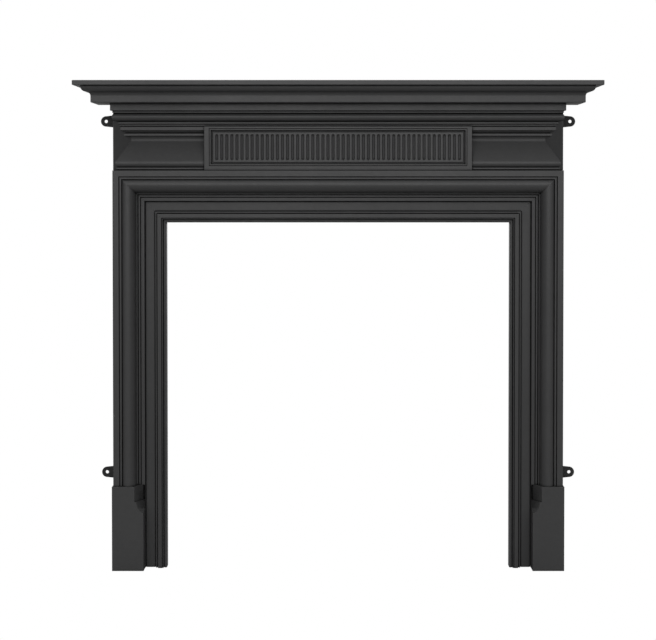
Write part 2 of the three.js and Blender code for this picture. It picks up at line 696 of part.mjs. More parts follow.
// Tablet: a hollow box through the frieze's front, with a framed, recessed field of upright flutes
const recessHalf = tabletHalf - tabletSideRail;
const recessFoot = tabletFoot + tabletBottomRail;
const recessTop = tabletTop - tabletTopRail;
const fieldHalf = recessHalf - recessStepWidth;
const fluteRoom = 2 * fieldHalf - fluteWidth - 2 * fluteMargin;
const fluteCount = Math.floor(fluteRoom / flutePitch) + 1;
const fluteRadius = fluteWidth / 2 / Math.cos(Math.PI / fluteSides);

const sunk = (inset, depth) => block(-recessHalf + inset, recessHalf - inset, tabletProjection - depth, reach,
  recessFoot + inset, recessTop - inset);

function flute(index) {
  const x = (index - (fluteCount - 1) / 2) * flutePitch;
  const capsule = new THREE.CapsuleGeometry(fluteRadius, fluteLength - fluteWidth, 2, fluteSides);
  capsule.rotateY(Math.PI / fluteSides).rotateX(Math.PI / 2);
  const middle = at(x, tabletProjection - fieldDepth, (recessFoot + recessTop) / 2);
  return solidOf(capsule.translate(middle.x, middle.y, middle.z));
}

const tabletBoltSpots = tabletBoltHeights.map((height) =>
  at(tabletHalf, tabletBack + tabletBoltInset, friezeFoot + height));

const tabletBores = () => join(...tabletBoltSpots.map((spot) =>
  rod(spot.clone().addScaledVector(right, -2 * castWall), right, looseBore, 4 * flangeThickness, boltSides)));

function tabletGeometry() {
  const lipBack = tabletProjection - tabletLipDepth;
  const box = block(-tabletHalf, tabletHalf, tabletBack, tabletProjection, tabletSeat, tabletTop);
  const lip = block(-tabletHalf, tabletHalf, lipBack, tabletProjection, tabletFoot, tabletSeat + castWall);
  const inside = tabletHalf - castWall;
  const fieldBack = tabletProjection - fieldDepth - fluteWidth / 2 - castWall;
  const hollow = block(-inside, inside, -castWall, fieldBack, tabletSeat + castWall, tabletTop - castWall);
  const groove = cut(sunk(-railGrooveInset - railGrooveWidth, railGrooveDepth),
    sunk(-railGrooveInset, reach));
  const flutes = Array.from({ length: fluteCount }, (_, index) => flute(index));
  return geometryOf(cut(join(box, lip), hollow, groove, sunk(0, recessStepDepth),
    sunk(recessStepWidth, fieldDepth), ...flutes, bothEnds(tabletBores())));
}

// Fasteners are drawn upright at the origin and then turned along `direction`
function placed(solid, start, direction) {
  const geometry = geometryOf(solid);
  geometry.applyQuaternion(new THREE.Quaternion().setFromUnitVectors(above, direction));
  return geometry.translate(start.x, start.y, start.z);
}

// `start` is under the head, where the bolt's head bears
function boltGeometry(start, direction, { radius, headRadius, headHeight }, length) {
  const head = rod(new THREE.Vector3(0, 0, -headHeight), above, headRadius, headHeight, 6);
  const shank = rod(new THREE.Vector3(0, 0, -headHeight / 2), above, radius, headHeight / 2 + length,
    boltSides);
  return placed(join(head, shank), start, direction);
}

function nutGeometry(start, direction, { radius, headRadius, nutHeight }) {
  const hexagon = rod(new THREE.Vector3(0, 0, 0), above, headRadius, nutHeight, 6);
  const bore = rod(new THREE.Vector3(0, 0, -nutHeight), above, radius + seatGap, 3 * nutHeight, boltSides);
  return placed(cut(hexagon, bore), start, direction);
}

// A bolt on the right-hand side with its nut, and the same on the left
function addBoltedPair(name, start, direction, grip) {
  const { nutHeight, tail } = smallBolt;
  const nutSeat = start.clone().addScaledVector(direction, grip + 2 * seatGap);
  const bolt = boltGeometry(start, direction, smallBolt, grip + 2 * seatGap + nutHeight + tail);
  const nut = nutGeometry(nutSeat, direction, smallBolt);
  addPair(`${name}_bolt`, bolt, steelColour);
  addPair(`${name}_nut`, nut, steelColour);
}

function addPair(name, geometry, colour) {
  addPiece(`right_${name}`, geometry, colour);
  addPiece(`left_${name}`, mirrored(geometry), colour);
}

addPiece('mantel_shelf', shelfGeometry(), ironColour);
addPiece('cornice', corniceGeometry(), ironColour);
addPiece('frieze', friezeGeometry(), ironColour);
addPiece('fluted_tablet', tabletGeometry(), ironColour);
addPiece('lintel', lintelGeometry(), ironColour);
addPair('leg', legGeometry(), ironColour);
addPair('plinth_block', plinthGeometry(), ironColour);
addPair('upper_wall_lug', lugGeometry(upperLugHeight), ironColour);
addPair('lower_wall_lug', lugGeometry(lowerLugHeight), ironColour);

shelfBoltSpacing.forEach((x, index) => {
  const start = at(x, shelfBoltProjection, friezeTop - castWall - seatGap);
  const bolt = boltGeometry(start, above, shelfBolt, shelfFoot + shelfThread - start.z);
  addPair(`shelf_bolt_${index + 1}`, bolt, steelColour);
});

const below = above.clone().negate();
friezeBoltSpacing.forEach((x, index) => {
  const start = at(x, friezeBoltProjection, friezeFoot + castWall + seatGap);
  addBoltedPair(`frieze_${index + 1}`, start, below, 2 * castWall + seatGap + seatGap);
});

mitreBoltInset.forEach((inset, index) => {
  const start = mitreSpot(inset).addScaledVector(towardsLeg, -flangeThickness - 1.5 * seatGap);
  addBoltedPair(`mitre_${index + 1}`, start, towardsLeg, 2 * flangeThickness + 2 * seatGap);
});

plinthBoltProjections.forEach((projection, index) => {
  const start = at(plinthInner + plinthBoltInset, projection, plinthHeight + castWall + 2 * seatGap);
  addBoltedPair(`plinth_${index + 1}`, start, below, 2 * castWall + 2 * seatGap);
});

tabletBoltSpots.forEach((spot, index) => {
  const start = spot.clone().addScaledVector(right, -castWall - seatGap);
  addBoltedPair(`tablet_${index + 1}`, start, right, castWall + flangeThickness + 2 * seatGap);
});

const back = room.clone().negate();
[['upper', upperLugHeight], ['lower', lowerLugHeight]].forEach(([level, height]) => {
  const grip = lugThickness + flangeThickness + 2 * seatGap;
  const screw = boltGeometry(at(lugBoltX, grip, height), back, smallBolt, grip - lugScrewSetback);
  addPair(`${level}_lug_screw`, screw, steelColour);
});

export default surround;
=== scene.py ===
from math import acos, asin, atan2, cos, degrees, hypot, radians, sin, tan

import bmesh
import bpy
from mathutils import Matrix, Vector


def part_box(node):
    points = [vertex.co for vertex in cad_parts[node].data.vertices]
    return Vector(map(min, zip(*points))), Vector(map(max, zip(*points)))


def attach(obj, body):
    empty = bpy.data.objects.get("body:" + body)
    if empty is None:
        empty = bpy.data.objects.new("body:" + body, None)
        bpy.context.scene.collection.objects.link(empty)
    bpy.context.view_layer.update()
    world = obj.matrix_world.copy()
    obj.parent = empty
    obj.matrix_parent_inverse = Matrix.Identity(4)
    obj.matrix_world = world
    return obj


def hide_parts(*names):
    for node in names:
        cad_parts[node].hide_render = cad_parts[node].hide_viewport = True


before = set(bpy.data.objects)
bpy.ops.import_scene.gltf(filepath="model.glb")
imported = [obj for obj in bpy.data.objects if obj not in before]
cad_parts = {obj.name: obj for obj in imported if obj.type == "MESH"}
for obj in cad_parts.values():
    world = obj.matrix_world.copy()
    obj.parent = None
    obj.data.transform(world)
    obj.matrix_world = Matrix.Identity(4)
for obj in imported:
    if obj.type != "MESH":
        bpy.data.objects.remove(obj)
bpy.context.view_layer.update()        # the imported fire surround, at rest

mm = 0.001
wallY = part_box("mantel_shelf")[1].y / mm        # the wall behind the surround, in millimetres
print("frame: the packed surround is loaded")

# Sizes that all the castings share, in millimetres
casting = {
    "wall": 6,              # thickness of a casting
    "gap": 0.3,             # joint between two pieces
    "flange": 8,
    "arris": 0.45,          # rounding that sand leaves on a sharp corner
    "facetsPerTurn": 48,    # of a curved moulding
    "boreFacets": 24,
    "softenAbove": 28,      # degrees between two sides of a section whose corner is rounded
    "overrun": 10,          # how far a cutting shape runs past the casting
    "farAway": 1000,        # past the end of any moulding
    "openingHalf": 457,
    "openingTop": 921,
    "rebate": 35,           # the opening's return stops this far from the wall
    "smoothBelow": 35,      # degrees between faces that are shaded as one
}
wall, gap, flange, overrun = casting["wall"], casting["gap"], casting["flange"], casting["overrun"]
nearly = 0.01                                   # points this close count as one
openingHalf, openingTop = casting["openingHalf"], casting["openingTop"]
sideways, towardsRoom, upwards = Vector((1, 0, 0)), Vector((0, -1, 0)), Vector((0, 0, 1))
mitreCorner = Vector((openingHalf, 0, openingTop))
mitreNormal = Vector((-1, 0, 1)).normalized()   # from the leg to the lintel


# Ways of making a shape
def spot(x, out, height):
    return Vector((x, wallY - out, height))


def roundOff(bm, geom, offset, segments, affect="EDGES", clamp=False):
    bmesh.ops.bevel(bm, geom=geom, offset=offset, affect=affect, segments=segments, profile=0.5, material=-1,
                    clamp_overlap=clamp)


def nextPoint(bm, tip):
    return bmesh.ops.extrude_vert_indiv(bm, verts=[tip])["verts"][0]


def drawSection(members, soften=True):
    # (a, b) is a corner, (a, b, round) a rounded one, (a, b, turn, squash) an arc about a, b
    bm = bmesh.new()
    tip, rounded = None, []
    for member in members:
        if len(member) == 4:
            a, b, turn, squash = member
            steps = max(4, round(abs(turn) / 360 * casting["facetsPerTurn"]))
            swing = (Matrix.Diagonal((1, squash, 1, 1)) @ Matrix.Rotation(radians(turn / steps), 4, "Z")
                     @ Matrix.Diagonal((1, 1 / squash, 1, 1)))
            for _ in range(steps):
                tip = nextPoint(bm, tip)
                bmesh.ops.transform(bm, matrix=swing, space=Matrix.Translation((-a, -b, 0)), verts=[tip])
            continue
        if tip is None:
            tip = bm.verts.new((0, 0, 0))
        else:
            tip = nextPoint(bm, tip)
        tip.co = (member[0], member[1], 0)
        if len(member) == 3:
            rounded.append((tip, member[2]))
    bm.verts.ensure_lookup_table()
    bmesh.ops.contextual_create(bm, geom=[tip, bm.verts[0]])
    bmesh.ops.contextual_create(bm, geom=bm.edges[:])
    for corner, radius in rounded:
        roundOff(bm, [corner], radius, 6, "VERTICES")
    if soften:
        sharp = [v for v in bm.verts if v.calc_edge_angle(0) > radians(casting["softenAbove"])]
        roundOff(bm, sharp, casting["arris"], 3, "VERTICES", clamp=True)
    bmesh.ops.remove_doubles(bm, verts=bm.verts, dist=nearly)
    return bm


def faceOut(bm):
    bmesh.ops.recalc_face_normals(bm, faces=bm.faces)


def pushOut(bm, along, length):
    # the section becomes a bar
    grown = bmesh.ops.extrude_face_region(bm, geom=bm.faces[:])["geom"]
    far = [v for v in grown if isinstance(v, bmesh.types.BMVert)]
    bmesh.ops.translate(bm, vec=along * length, verts=far)
    faceOut(bm)
    return bm


def stand(bm, across, out, origin):
    # the section's own axes are laid along these two directions
    turned = Matrix((across, out, across.cross(out))).transposed().to_4x4()
    bmesh.ops.transform(bm, matrix=Matrix.Translation(origin) @ turned, verts=bm.verts)
    return bm


def barAlongX(members, height, start, end, soften=True):
    # members give projection and height
    section = stand(drawSection(members, soften), towardsRoom, upwards, spot(start, 0, height))
    return pushOut(section, sideways, end - start)


def barAlongDepth(members, height, near, far, soften=True):
    # members give x and height
    section = stand(drawSection(members, soften), sideways, upwards, spot(0, near, height))
    return pushOut(section, towardsRoom, far - near)


def barUpright(members, foot, top, soften=True, originX=0):
    # members give x and projection
    section = stand(drawSection(members, soften), sideways, towardsRoom, spot(originX, 0, foot))
    return pushOut(section, upwards, top - foot)


def lintelBar(members, start, end, soften=True):
    # members give the distance from the opening and the projection
    section = stand(drawSection(members, soften), upwards, towardsRoom, spot(start, 0, openingTop))
    return pushOut(section, sideways, end - start)


def trim(bm, point, normal):
    # takes away what lies beyond the plane and closes the cut
    cut = bmesh.ops.bisect_plane(bm, geom=bm.verts[:] + bm.edges[:] + bm.faces[:], dist=1e-4,
                                 plane_co=point, plane_no=normal, clear_outer=True)["geom_cut"]
    rim = [e for e in cut if isinstance(e, bmesh.types.BMEdge)]
    made = bmesh.ops.contextual_create(bm, geom=rim)["faces"]
    faceOut(bm)
    return made


def returnedBar(members, height, sideStep, back=0, soften=True):
    # a moulding along the right half of the front, mitred, returned along the side and cut off at the wall
    bm = barAlongX(members, height, 0, casting["farAway"], soften)
    cutFaces = trim(bm, spot(sideStep, 0, 0), Vector((1, 1, 0)).normalized())
    grown = bmesh.ops.extrude_face_region(bm, geom=cutFaces)["geom"]
    bmesh.ops.delete(bm, geom=cutFaces, context="FACES_ONLY")
    for v in grown:
        if isinstance(v, bmesh.types.BMVert):
            v.co.y = wallY + 4 * wall
    faceOut(bm)
    trim(bm, spot(0, back, 0), -towardsRoom)
    return bm


def block(x0, x1, near, far, z0, z1):
    bm = bmesh.new()
    bmesh.ops.create_cube(bm, size=1)
    bmesh.ops.scale(bm, vec=(x1 - x0, far - near, z1 - z0), verts=bm.verts)
    bmesh.ops.translate(bm, vec=spot((x0 + x1) / 2, (near + far) / 2, (z0 + z1) / 2), verts=bm.verts)
    return bm


def placing(start, direction):
    # what stood on z = 0 then stands on the start and points along the direction
    return Matrix.Translation(start) @ upwards.rotation_difference(direction).to_matrix().to_4x4()


def rod(start, direction, radius, length, facets=casting["boreFacets"]):
    bm = bmesh.new()
    bmesh.ops.create_cone(bm, cap_ends=True, segments=facets, radius1=radius, radius2=radius, depth=length,
                          matrix=placing(start + direction * length / 2, direction))
    return bm


def addObject(name, data):
    added = bpy.data.objects.new(name, data)
    bpy.context.scene.collection.objects.link(added)
    return added


def shape(name, bm):
    mesh = bpy.data.meshes.new(name)
    bm.to_mesh(mesh)
    bm.free()
    return addObject(name, mesh)


def carve(piece, tools, way="DIFFERENCE"):
    knives = [shape("knife", tool) for tool in tools]
    for knife in knives:
        step = piece.modifiers.new("carve", "BOOLEAN")
        step.operation, step.solver, step.object = way, "EXACT", knife
    depsgraph = bpy.context.evaluated_depsgraph_get()
    carved = bpy.data.meshes.new_from_object(piece.evaluated_get(depsgraph))
    piece.modifiers.clear()
    piece.data = carved
    for knife in knives:
        bpy.data.objects.remove(knife)
    return piece


def reworked(piece, work):
    # a step of mesh work on a finished shape
    bm = bmesh.new()
    bm.from_mesh(piece.data)
    work(bm)
    bm.to_mesh(piece.data)
    bm.free()
    return piece


def wholeFromHalf(piece):
    # the right half is mirrored in the middle of the surround
    def work(bm):
        middle = [f for f in bm.faces if all(abs(v.co.x) < nearly for v in f.verts)]
        bmesh.ops.delete(bm, geom=middle, context="FACES")
        bmesh.ops.mirror(bm, geom=bm.verts[:] + bm.edges[:] + bm.faces[:], matrix=Matrix.Identity(4),
                         merge_dist=nearly, axis="X")
        bmesh.ops.remove_doubles(bm, verts=bm.verts, dist=nearly / 10)
        faceOut(bm)
    return reworked(piece, work)


def leftHanded(piece, name):
    # the same piece on the left side of the surround
    copy = addObject(name, piece.data.copy())

    def work(bm):
        bmesh.ops.scale(bm, vec=(-1, 1, 1), verts=bm.verts)
        bmesh.ops.reverse_faces(bm, faces=bm.faces)
    return reworked(copy, work)


def finishPiece(piece, slotName, node, mitreStep=None):
    # shading, material and the piece's place in the frame; with mitreStep the mitre stays sharp
    mesh = piece.data
    mesh.shade_smooth()
    mesh.set_sharp_from_angle(angle=radians(casting["smoothBelow"]))
    if mitreStep is not None:
        for edge in mesh.edges:
            ends = [mesh.vertices[i].co for i in edge.vertices]
            if all(abs(abs(v.x) - mitreStep - (wallY - v.y)) < 2 * nearly for v in ends):
                edge.use_edge_sharp = True
    mesh.transform(Matrix.Scale(mm, 4))
    mesh.materials.clear()
    mesh.materials.append(finishes[slotName])
    even = piece.modifiers.new("evenShading", "WEIGHTED_NORMAL")
    even.keep_sharp = True
    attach(piece, "root")
    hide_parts(node)


def finishPair(right, slotName, node):
    left = leftHanded(right, right.name.replace("right", "left"))
    finishPiece(right, slotName, "right_" + node)
    finishPiece(left, slotName, "left_" + node)


# Materials
ironFinish = {
    "colour": (0.046, 0.046, 0.0465, 1),
    "paleColour": (0.056, 0.056, 0.0565, 1),
    # the crease colour is painted shade, laid into narrow hollows
    "creaseShadeColour": (0.006, 0.006, 0.006, 1),
    "specular": 0.34,
    "roughness": (0.36, 0.46),
    "cloudScales": (5, 70),     # of the mottle, broad and small
    "grainHeight": 0.00006,     # metres
    "wear": 0.7,
    "wornBrighter": 2.2,        # rubbed edges against the pale colour
}
lugFinish = {
    "colour": (0.012, 0.012, 0.0122, 1),
    "paleColour": (0.024, 0.024, 0.0242, 1),
    # the crease colour is painted shade, laid into narrow hollows
    "creaseShadeColour": (0.006, 0.006, 0.006, 1),
    "specular": 0.5,
    "roughness": (0.55, 0.7),
    "cloudScales": (5, 70),
    "grainHeight": 0.00028,
    "wear": 0.4,
    "wornBrighter": 2.2,
}
zincFinish = {
    "colour": (0.30, 0.305, 0.31, 1),
    "paleColour": (0.42, 0.425, 0.43, 1),
    "roughness": (0.36, 0.55),
    "metallic": 0.9,
    "cloudScales": (40, 350),
}


def newGroup(name, inputs, outputs):
    group = bpy.data.node_groups.new(name, "ShaderNodeTree")
    for label, kind, value in inputs:
        socket = group.interface.new_socket(label, in_out="INPUT", socket_type=kind)
        socket.default_value = value
    for label, kind in outputs:
        group.interface.new_socket(label, in_out="OUTPUT", socket_type=kind)
    nodes = group.nodes
    return group, nodes.new("NodeGroupInput"), nodes.new("NodeGroupOutput")


def linkUp(tree, *links):
    for source, output, target, entry in links:
        tree.links.new(source.outputs[output], target.inputs[entry])


def addNode(tree, kind, **values):
    node = tree.nodes.new("ShaderNode" + kind)
    for key, value in values.items():
        if key in node.inputs:
            node.inputs[key].default_value = value
        else:
            setattr(node, key, value)
    return node


def addSpread(tree, start, end, low=0, high=1):
    # stretches start to end over low to high
    node = addNode(tree, "MapRange")
    for label, value in zip(("From Min", "From Max", "To Min", "To Max"), (start, end, low, high)):
        node.inputs[label].default_value = value
    return node


def makeSandGrain():
    # the skin that moulding sand leaves: fine grain with some broader unevenness
    group, given, result = newGroup(
        "sandGrain", [("Fineness", "NodeSocketFloat", 1.0), ("Unevenness", "NodeSocketFloat", 0.5)],
        [("Height", "NodeSocketFloat")])
    place = addNode(group, "TexCoord")
    fine = addNode(group, "TexNoise", Detail=4.0, Roughness=0.6)
    fineScale = addNode(group, "Math", operation="MULTIPLY")
    fineScale.inputs[1].default_value = 900
    broad = addNode(group, "TexNoise", Scale=60.0, Detail=3.0, Roughness=0.55)
    broadPart = addNode(group, "Math", operation="MULTIPLY")
    total = addNode(group, "Math", operation="ADD")
    linkUp(group, (given, "Fineness", fineScale, 0), (fineScale, 0, fine, "Scale"),
           (place, "Object", fine, "Vector"), (place, "Object", broad, "Vector"), (broad, 0, broadPart, 0),
           (given, "Unevenness", broadPart, 1), (fine, 0, total, 0), (broadPart, 0, total, 1),
           (total, 0, result, "Height"))
    return group


def makeMottle():
    # uneven polish, from broad clouds and smaller patches
    group, given, result = newGroup(
        "mottle", [("Broad Scale", "NodeSocketFloat", 5.0), ("Patch Scale", "NodeSocketFloat", 70.0)],
        [("Amount", "NodeSocketFloat")])
    place = addNode(group, "TexCoord")
    broad = addNode(group, "TexNoise", Detail=3.0, Roughness=0.5)
    patch = addNode(group, "TexNoise", Detail=5.0, Roughness=0.6)
    mixed = addNode(group, "Mix", data_type="FLOAT")
    mixed.inputs[0].default_value = 0.45
    spread = addSpread(group, 0.3, 0.7)
    linkUp(group, (place, "Object", broad, "Vector"), (place, "Object", patch, "Vector"),
           (given, "Broad Scale", broad, "Scale"), (given, "Patch Scale", patch, "Scale"),
           (broad, 0, mixed, 2), (patch, 0, mixed, 3), (mixed, 0, spread, "Value"),
           (spread, 0, result, "Amount"))
    return group


def makeRubbedArris():
    # edges that stand proud and are rubbed brighter: where a widely rounded normal leaves the true one
    group, given, result = newGroup(
        "rubbedArris", [("Width", "NodeSocketFloat", 0.0016), ("Strength", "NodeSocketFloat", 1.0)],
        [("Mask", "NodeSocketFloat")])
    soft = addNode(group, "Bevel", samples=6)
    true = addNode(group, "NewGeometry")
    match = addNode(group, "VectorMath", operation="DOT_PRODUCT")
    edge = addSpread(group, 0.995, 0.80)
    hollow = addNode(group, "AmbientOcclusion", samples=6, inside=True)
    proud = addSpread(group, 0.45, 0.85, 1, 0)
    both = addNode(group, "Math", operation="MULTIPLY")
    scaled = addNode(group, "Math", operation="MULTIPLY")
    linkUp(group, (given, "Width", soft, "Radius"), (given, "Width", hollow, "Distance"), (soft, 0, match, 0),
           (true, "Normal", match, 1), (match, "Value", edge, "Value"), (hollow, "AO", proud, "Value"),
           (edge, 0, both, 0), (proud, 0, both, 1), (both, 0, scaled, 0), (given, "Strength", scaled, 1),
           (scaled, 0, result, "Mask"))
    return group


def makePaintedCreaseShade():
    # painted shade: a mask that darkens narrow hollows and creases, found by ambient occlusion
    group, given, result = newGroup(
        "paintedCreaseShade", [("Reach", "NodeSocketFloat", 0.007)], [("Mask", "NodeSocketFloat")])
    hollow = addNode(group, "AmbientOcclusion", samples=8)
    mask = addSpread(group, 0.92, 0.4)
    linkUp(group, (given, "Reach", hollow, "Distance"), (hollow, "AO", mask, "Value"),
           (mask, 0, result, "Mask"))
    return group


sandGrain, mottle = makeSandGrain(), makeMottle()
rubbedArris, paintedCreaseShade = makeRubbedArris(), makePaintedCreaseShade()


def groupNode(tree, group):
    return addNode(tree, "Group", node_tree=group)


def startMaterial(name, finish):
    # a material whose colour and roughness vary with the mottle
    material = bpy.data.materials.new(name)
    material.use_nodes = True
    tree = material.node_tree
    cloud = groupNode(tree, mottle)
    for label, scale in zip(("Broad Scale", "Patch Scale"), finish["cloudScales"]):
        cloud.inputs[label].default_value = scale
    tone = addNode(tree, "Mix", data_type="RGBA")
    tone.inputs[6].default_value = finish["colour"]
    tone.inputs[7].default_value = finish["paleColour"]
    gloss = addSpread(tree, 0, 1, finish["roughness"][1], finish["roughness"][0])
    linkUp(tree, (cloud, "Amount", tone, 0), (cloud, "Amount", gloss, "Value"))
    return material, tone, gloss


def makeIron(name, finish):
    material, tone, gloss = startMaterial(name, finish)
    tree = material.node_tree
    shader = tree.nodes["Principled BSDF"]
    shader.inputs["Specular IOR Level"].default_value = finish["specular"]
    arris, crease = groupNode(tree, rubbedArris), groupNode(tree, paintedCreaseShade)
    arris.inputs["Strength"].default_value = finish["wear"]
    rubbed = addNode(tree, "Mix", data_type="RGBA")
    rubbed.inputs[7].default_value = [finish["wornBrighter"] * c for c in finish["paleColour"][:3]] + [1]
    # painted shade: the crease colour darkens narrow hollows, and roughness is raised there too
    deep = addNode(tree, "Mix", data_type="RGBA")
    deep.inputs[7].default_value = finish["creaseShadeColour"]
    dull = addNode(tree, "Mix", data_type="FLOAT")
    dull.inputs[3].default_value = 1
    grain = groupNode(tree, sandGrain)
    bump = addNode(tree, "Bump", Strength=1.0, Distance=finish["grainHeight"])
    linkUp(tree, (tone, 2, rubbed, 6), (arris, "Mask", rubbed, 0), (rubbed, 2, deep, 6),
           (crease, "Mask", deep, 0), (deep, 2, shader, "Base Color"), (gloss, 0, dull, 2),
           (crease, "Mask", dull, 0), (dull, 0, shader, "Roughness"), (grain, "Height", bump, "Height"),
           (bump, 0, shader, "Normal"))
    return material


def makeZinc(name, finish):
    material, tone, gloss = startMaterial(name, finish)
    tree = material.node_tree
    shader = tree.nodes["Principled BSDF"]
    shader.inputs["Metallic"].default_value = finish["metallic"]
    linkUp(tree, (tone, 2, shader, "Base Color"), (gloss, 0, shader, "Roughness"))
    return material


finishes = {
    "satin_iron": makeIron("satinCastIron", ironFinish),
    "lug_iron": makeIron("roughCastIron", lugFinish),
    "fixing_steel": makeZinc("dullZincSteel", zincFinish),
}
print("materials: satin cast iron, rough cast iron and zinc")

# Sizes of lugs and fixings, for which the castings are cut
lug = {
    "thickness": 5, "holeX": 623.5, "holeRadius": 4.5, "holeFacets": 32, "tipRadius": 14, "baseHalf": 17,
    "tailX": 549, "sideX": 595, "round": 0.8, "upper": 1191.5, "lower": 246, "padHalf": 19,
}
fixings = {
    # distances from the middle and from the wall
    "shelf": [(180, 84), (520, 84)], "frieze": [(450, 68), (530, 68)], "plinth": [(550.5, 30), (550.5, 75)],
    "mitreInsets": (45, 108), "mitreOut": 47, "tabletHeights": (36, 84), "tabletOut": 54, "lugX": 567,
    "looseBore": 4.3, "shelfBore": 5.3,
}
downwards = -upwards
towardsLeg = Vector((1, 0, -1)).normalized()


def bore(start, direction, before, after, radius=fixings["looseBore"]):
    # a cutting rod from before the point to after it
    return rod(start - direction * before, direction, radius, before + after)


def uprightBores(name, height, before, after, radius=fixings["looseBore"]):
    return [bore(spot(x, out, height), upwards, before, after, radius) for x, out in fixings[name]]


def mitreSpot(inset):
    return spot(openingHalf + inset, fixings["mitreOut"], openingTop + inset)


def mitreBores():
    half = flange + 2 * wall
    return [bore(mitreSpot(inset), towardsLeg, half, half) for inset in fixings["mitreInsets"]]


def lugPad(side, height):
    behind = lug["thickness"] + gap
    return block(lug["tailX"], side - wall / 2, behind, behind + flange, height - lug["padHalf"],
                 height + lug["padHalf"])


def lugCuts(height):
    half = lug["baseHalf"] + gap
    notch = block(lug["sideX"] - 2 * wall, lug["sideX"] + wall, -wall, lug["thickness"] + gap, height - half,
                  height + half)
    return [notch, bore(spot(fixings["lugX"], 0, height), towardsRoom, before=wall, after=26)]


# Architrave: lintel and legs, each member's width and projection
architrave = {
    "sightFillet": (6.6, 71), "sightBead": (6, 80), "sightFlat": (12.4, 80), "sightStep": (6.2, 72.5),
    "flatBand": (26, 65), "bead": (8.8, 79), "lowerFillet": (6.6, 81.5), "upperFillet": (6.4, 86),
    "torusInner": (21, 25), "torusCrest": 115, "torusOuter": (12.6, 8),
    "outerFillet": (7.2, 108.5), "outerBand": (18.2, 111),
    "quirk": (2.2, 3.4), "quirkSlope": 0.22, "sightRound": 3, "outerRound": 2,
    "quirkCutFrom": ("sightBead", "sightFlat", "sightStep", "flatBand"),    # the others from the member after
    "faceWidth": 138, "plinthTop": 223, "blockInner": 57.2, "lowChannelTop": 235,
    "barEnd": 700, "barTop": 1065,      # before the mitre is cut
}


def quirk(u, before, after):
    # a crease between two members
    width, depth = architrave["quirk"]
    slope, bottom = architrave["quirkSlope"] * width, min(before, after) - depth
    return [(u, before), (u + slope, bottom), (u + width - slope, bottom), (u + width, after)]


def architraveFace():
    a, u = architrave, 0
    members = [(0, a["sightFillet"][1], a["sightRound"])]
    flats = ("sightFillet", "sightBead", "sightFlat", "sightStep", "flatBand", "bead", "lowerFillet",
             "upperFillet")
    for member, following in zip(flats, flats[1:]):
        u += a[member][0]
        start = u - a["quirk"][0] if member in a["quirkCutFrom"] else u
        members += quirk(start, a[member][1], a[following][1])
    u += a["upperFillet"][0]
    (inner, rise), (outer, drop), crest = a["torusInner"], a["torusOuter"], a["torusCrest"]
    members += [(u, a["upperFillet"][1]), (u, crest - rise), (u + inner, crest - rise, -90, rise / inner),
                (u + inner, crest - drop, -90, drop / outer)]
    u += inner + outer
    members += quirk(u, crest - drop, a["outerFillet"][1])[1:]
    u += a["outerFillet"][0]
    members += quirk(u, a["outerFillet"][1], a["outerBand"][1])
    return members + [(a["faceWidth"], a["outerBand"][1], a["outerRound"]), (a["faceWidth"], 0)]


# sections: distance from the opening and projection
solidSection = [(0, 0)] + architraveFace()
backOfSight = [(26.2, 59), (19, 72.8), (12.6, 72.8), (6, 65), (6, 30)]
backOfFace = [(132, 30), (132, 101), (91, 101), (85, 80), (79, 73), (63.2, 73), (63.2, 59)] + backOfSight
backBesideBlock = [(architrave["blockInner"], 30), (architrave["blockInner"], 59)] + backOfSight
faceEnd = architrave["faceWidth"] - wall


def makeLintel():
    a, rebate = architrave, casting["rebate"]
    bar = lintelBar(solidSection, 0, a["barEnd"])
    trim(bar, mitreCorner + mitreNormal * gap / 2, -mitreNormal)
    lintel = shape("lintelCasting", bar)
    channel = lintelBar(backOfFace, -overrun, a["barEnd"], soften=False)
    trim(channel, mitreCorner + mitreNormal * (gap / 2 + flange), -mitreNormal)
    behind = lintelBar([(-overrun, -overrun), (faceEnd, -overrun), (faceEnd, rebate), (-overrun, rebate)],
                       -overrun, a["barEnd"], soften=False)
    bores = uprightBores("frieze", openingTop + a["faceWidth"], before=13, after=11)
    carve(lintel, [channel, behind, *mitreBores(), *bores])
    return wholeFromHalf(lintel)


def makeLeg():
    # beside the plinth block only the inner part of the moulding runs down to the floor
    a, rebate = architrave, casting["rebate"]
    seat = a["plinthTop"] + gap
    inner, beside = openingHalf - overrun, openingHalf + a["blockInner"]
    bar = barUpright(solidSection, 0, a["barTop"], originX=openingHalf)
    trim(bar, mitreCorner - mitreNormal * gap / 2, mitreNormal)
    leg = shape("rightLegCasting", bar)
    channel = barUpright(backOfFace, seat + wall, a["barTop"], soften=False, originX=openingHalf)
    trim(channel, mitreCorner - mitreNormal * (gap / 2 + flange), mitreNormal)
    lowChannel = barUpright(backBesideBlock, -overrun, a["lowChannelTop"], soften=False, originX=openingHalf)
    behind = block(inner, openingHalf + faceEnd, -overrun, rebate, seat + wall, a["barTop"] + overrun)
    lowBehind = block(inner, beside, -overrun, rebate, -overrun, a["lowChannelTop"])
    aroundBlock = block(beside, a["barEnd"], -overrun, 2 * a["torusCrest"], -overrun, seat)
    carve(leg, [channel, lowChannel, behind, lowBehind, aroundBlock])
    carve(leg, [lugPad(lug["sideX"], lug["lower"])], "UNION")
    bores = uprightBores("plinth", seat, before=5, after=15)
    return carve(leg, [*mitreBores(), *bores, *lugCuts(lug["lower"])])


finishPiece(makeLintel(), "satin_iron", "lintel")
finishPair(makeLeg(), "satin_iron", "leg")
print("architrave: lintel and two legs")

# Plinth blocks
plinth = {
    "inner": 514.5, "outer": 598, "front": 119, "height": 223, "round": 1.5, "topRound": 0.8, "foot": 8,
    "chamferFace": 24, "chamferReturn": 52, "chamferLength": 40.5, "stopShoulder": 0.786, "stopHeight": 29,
}


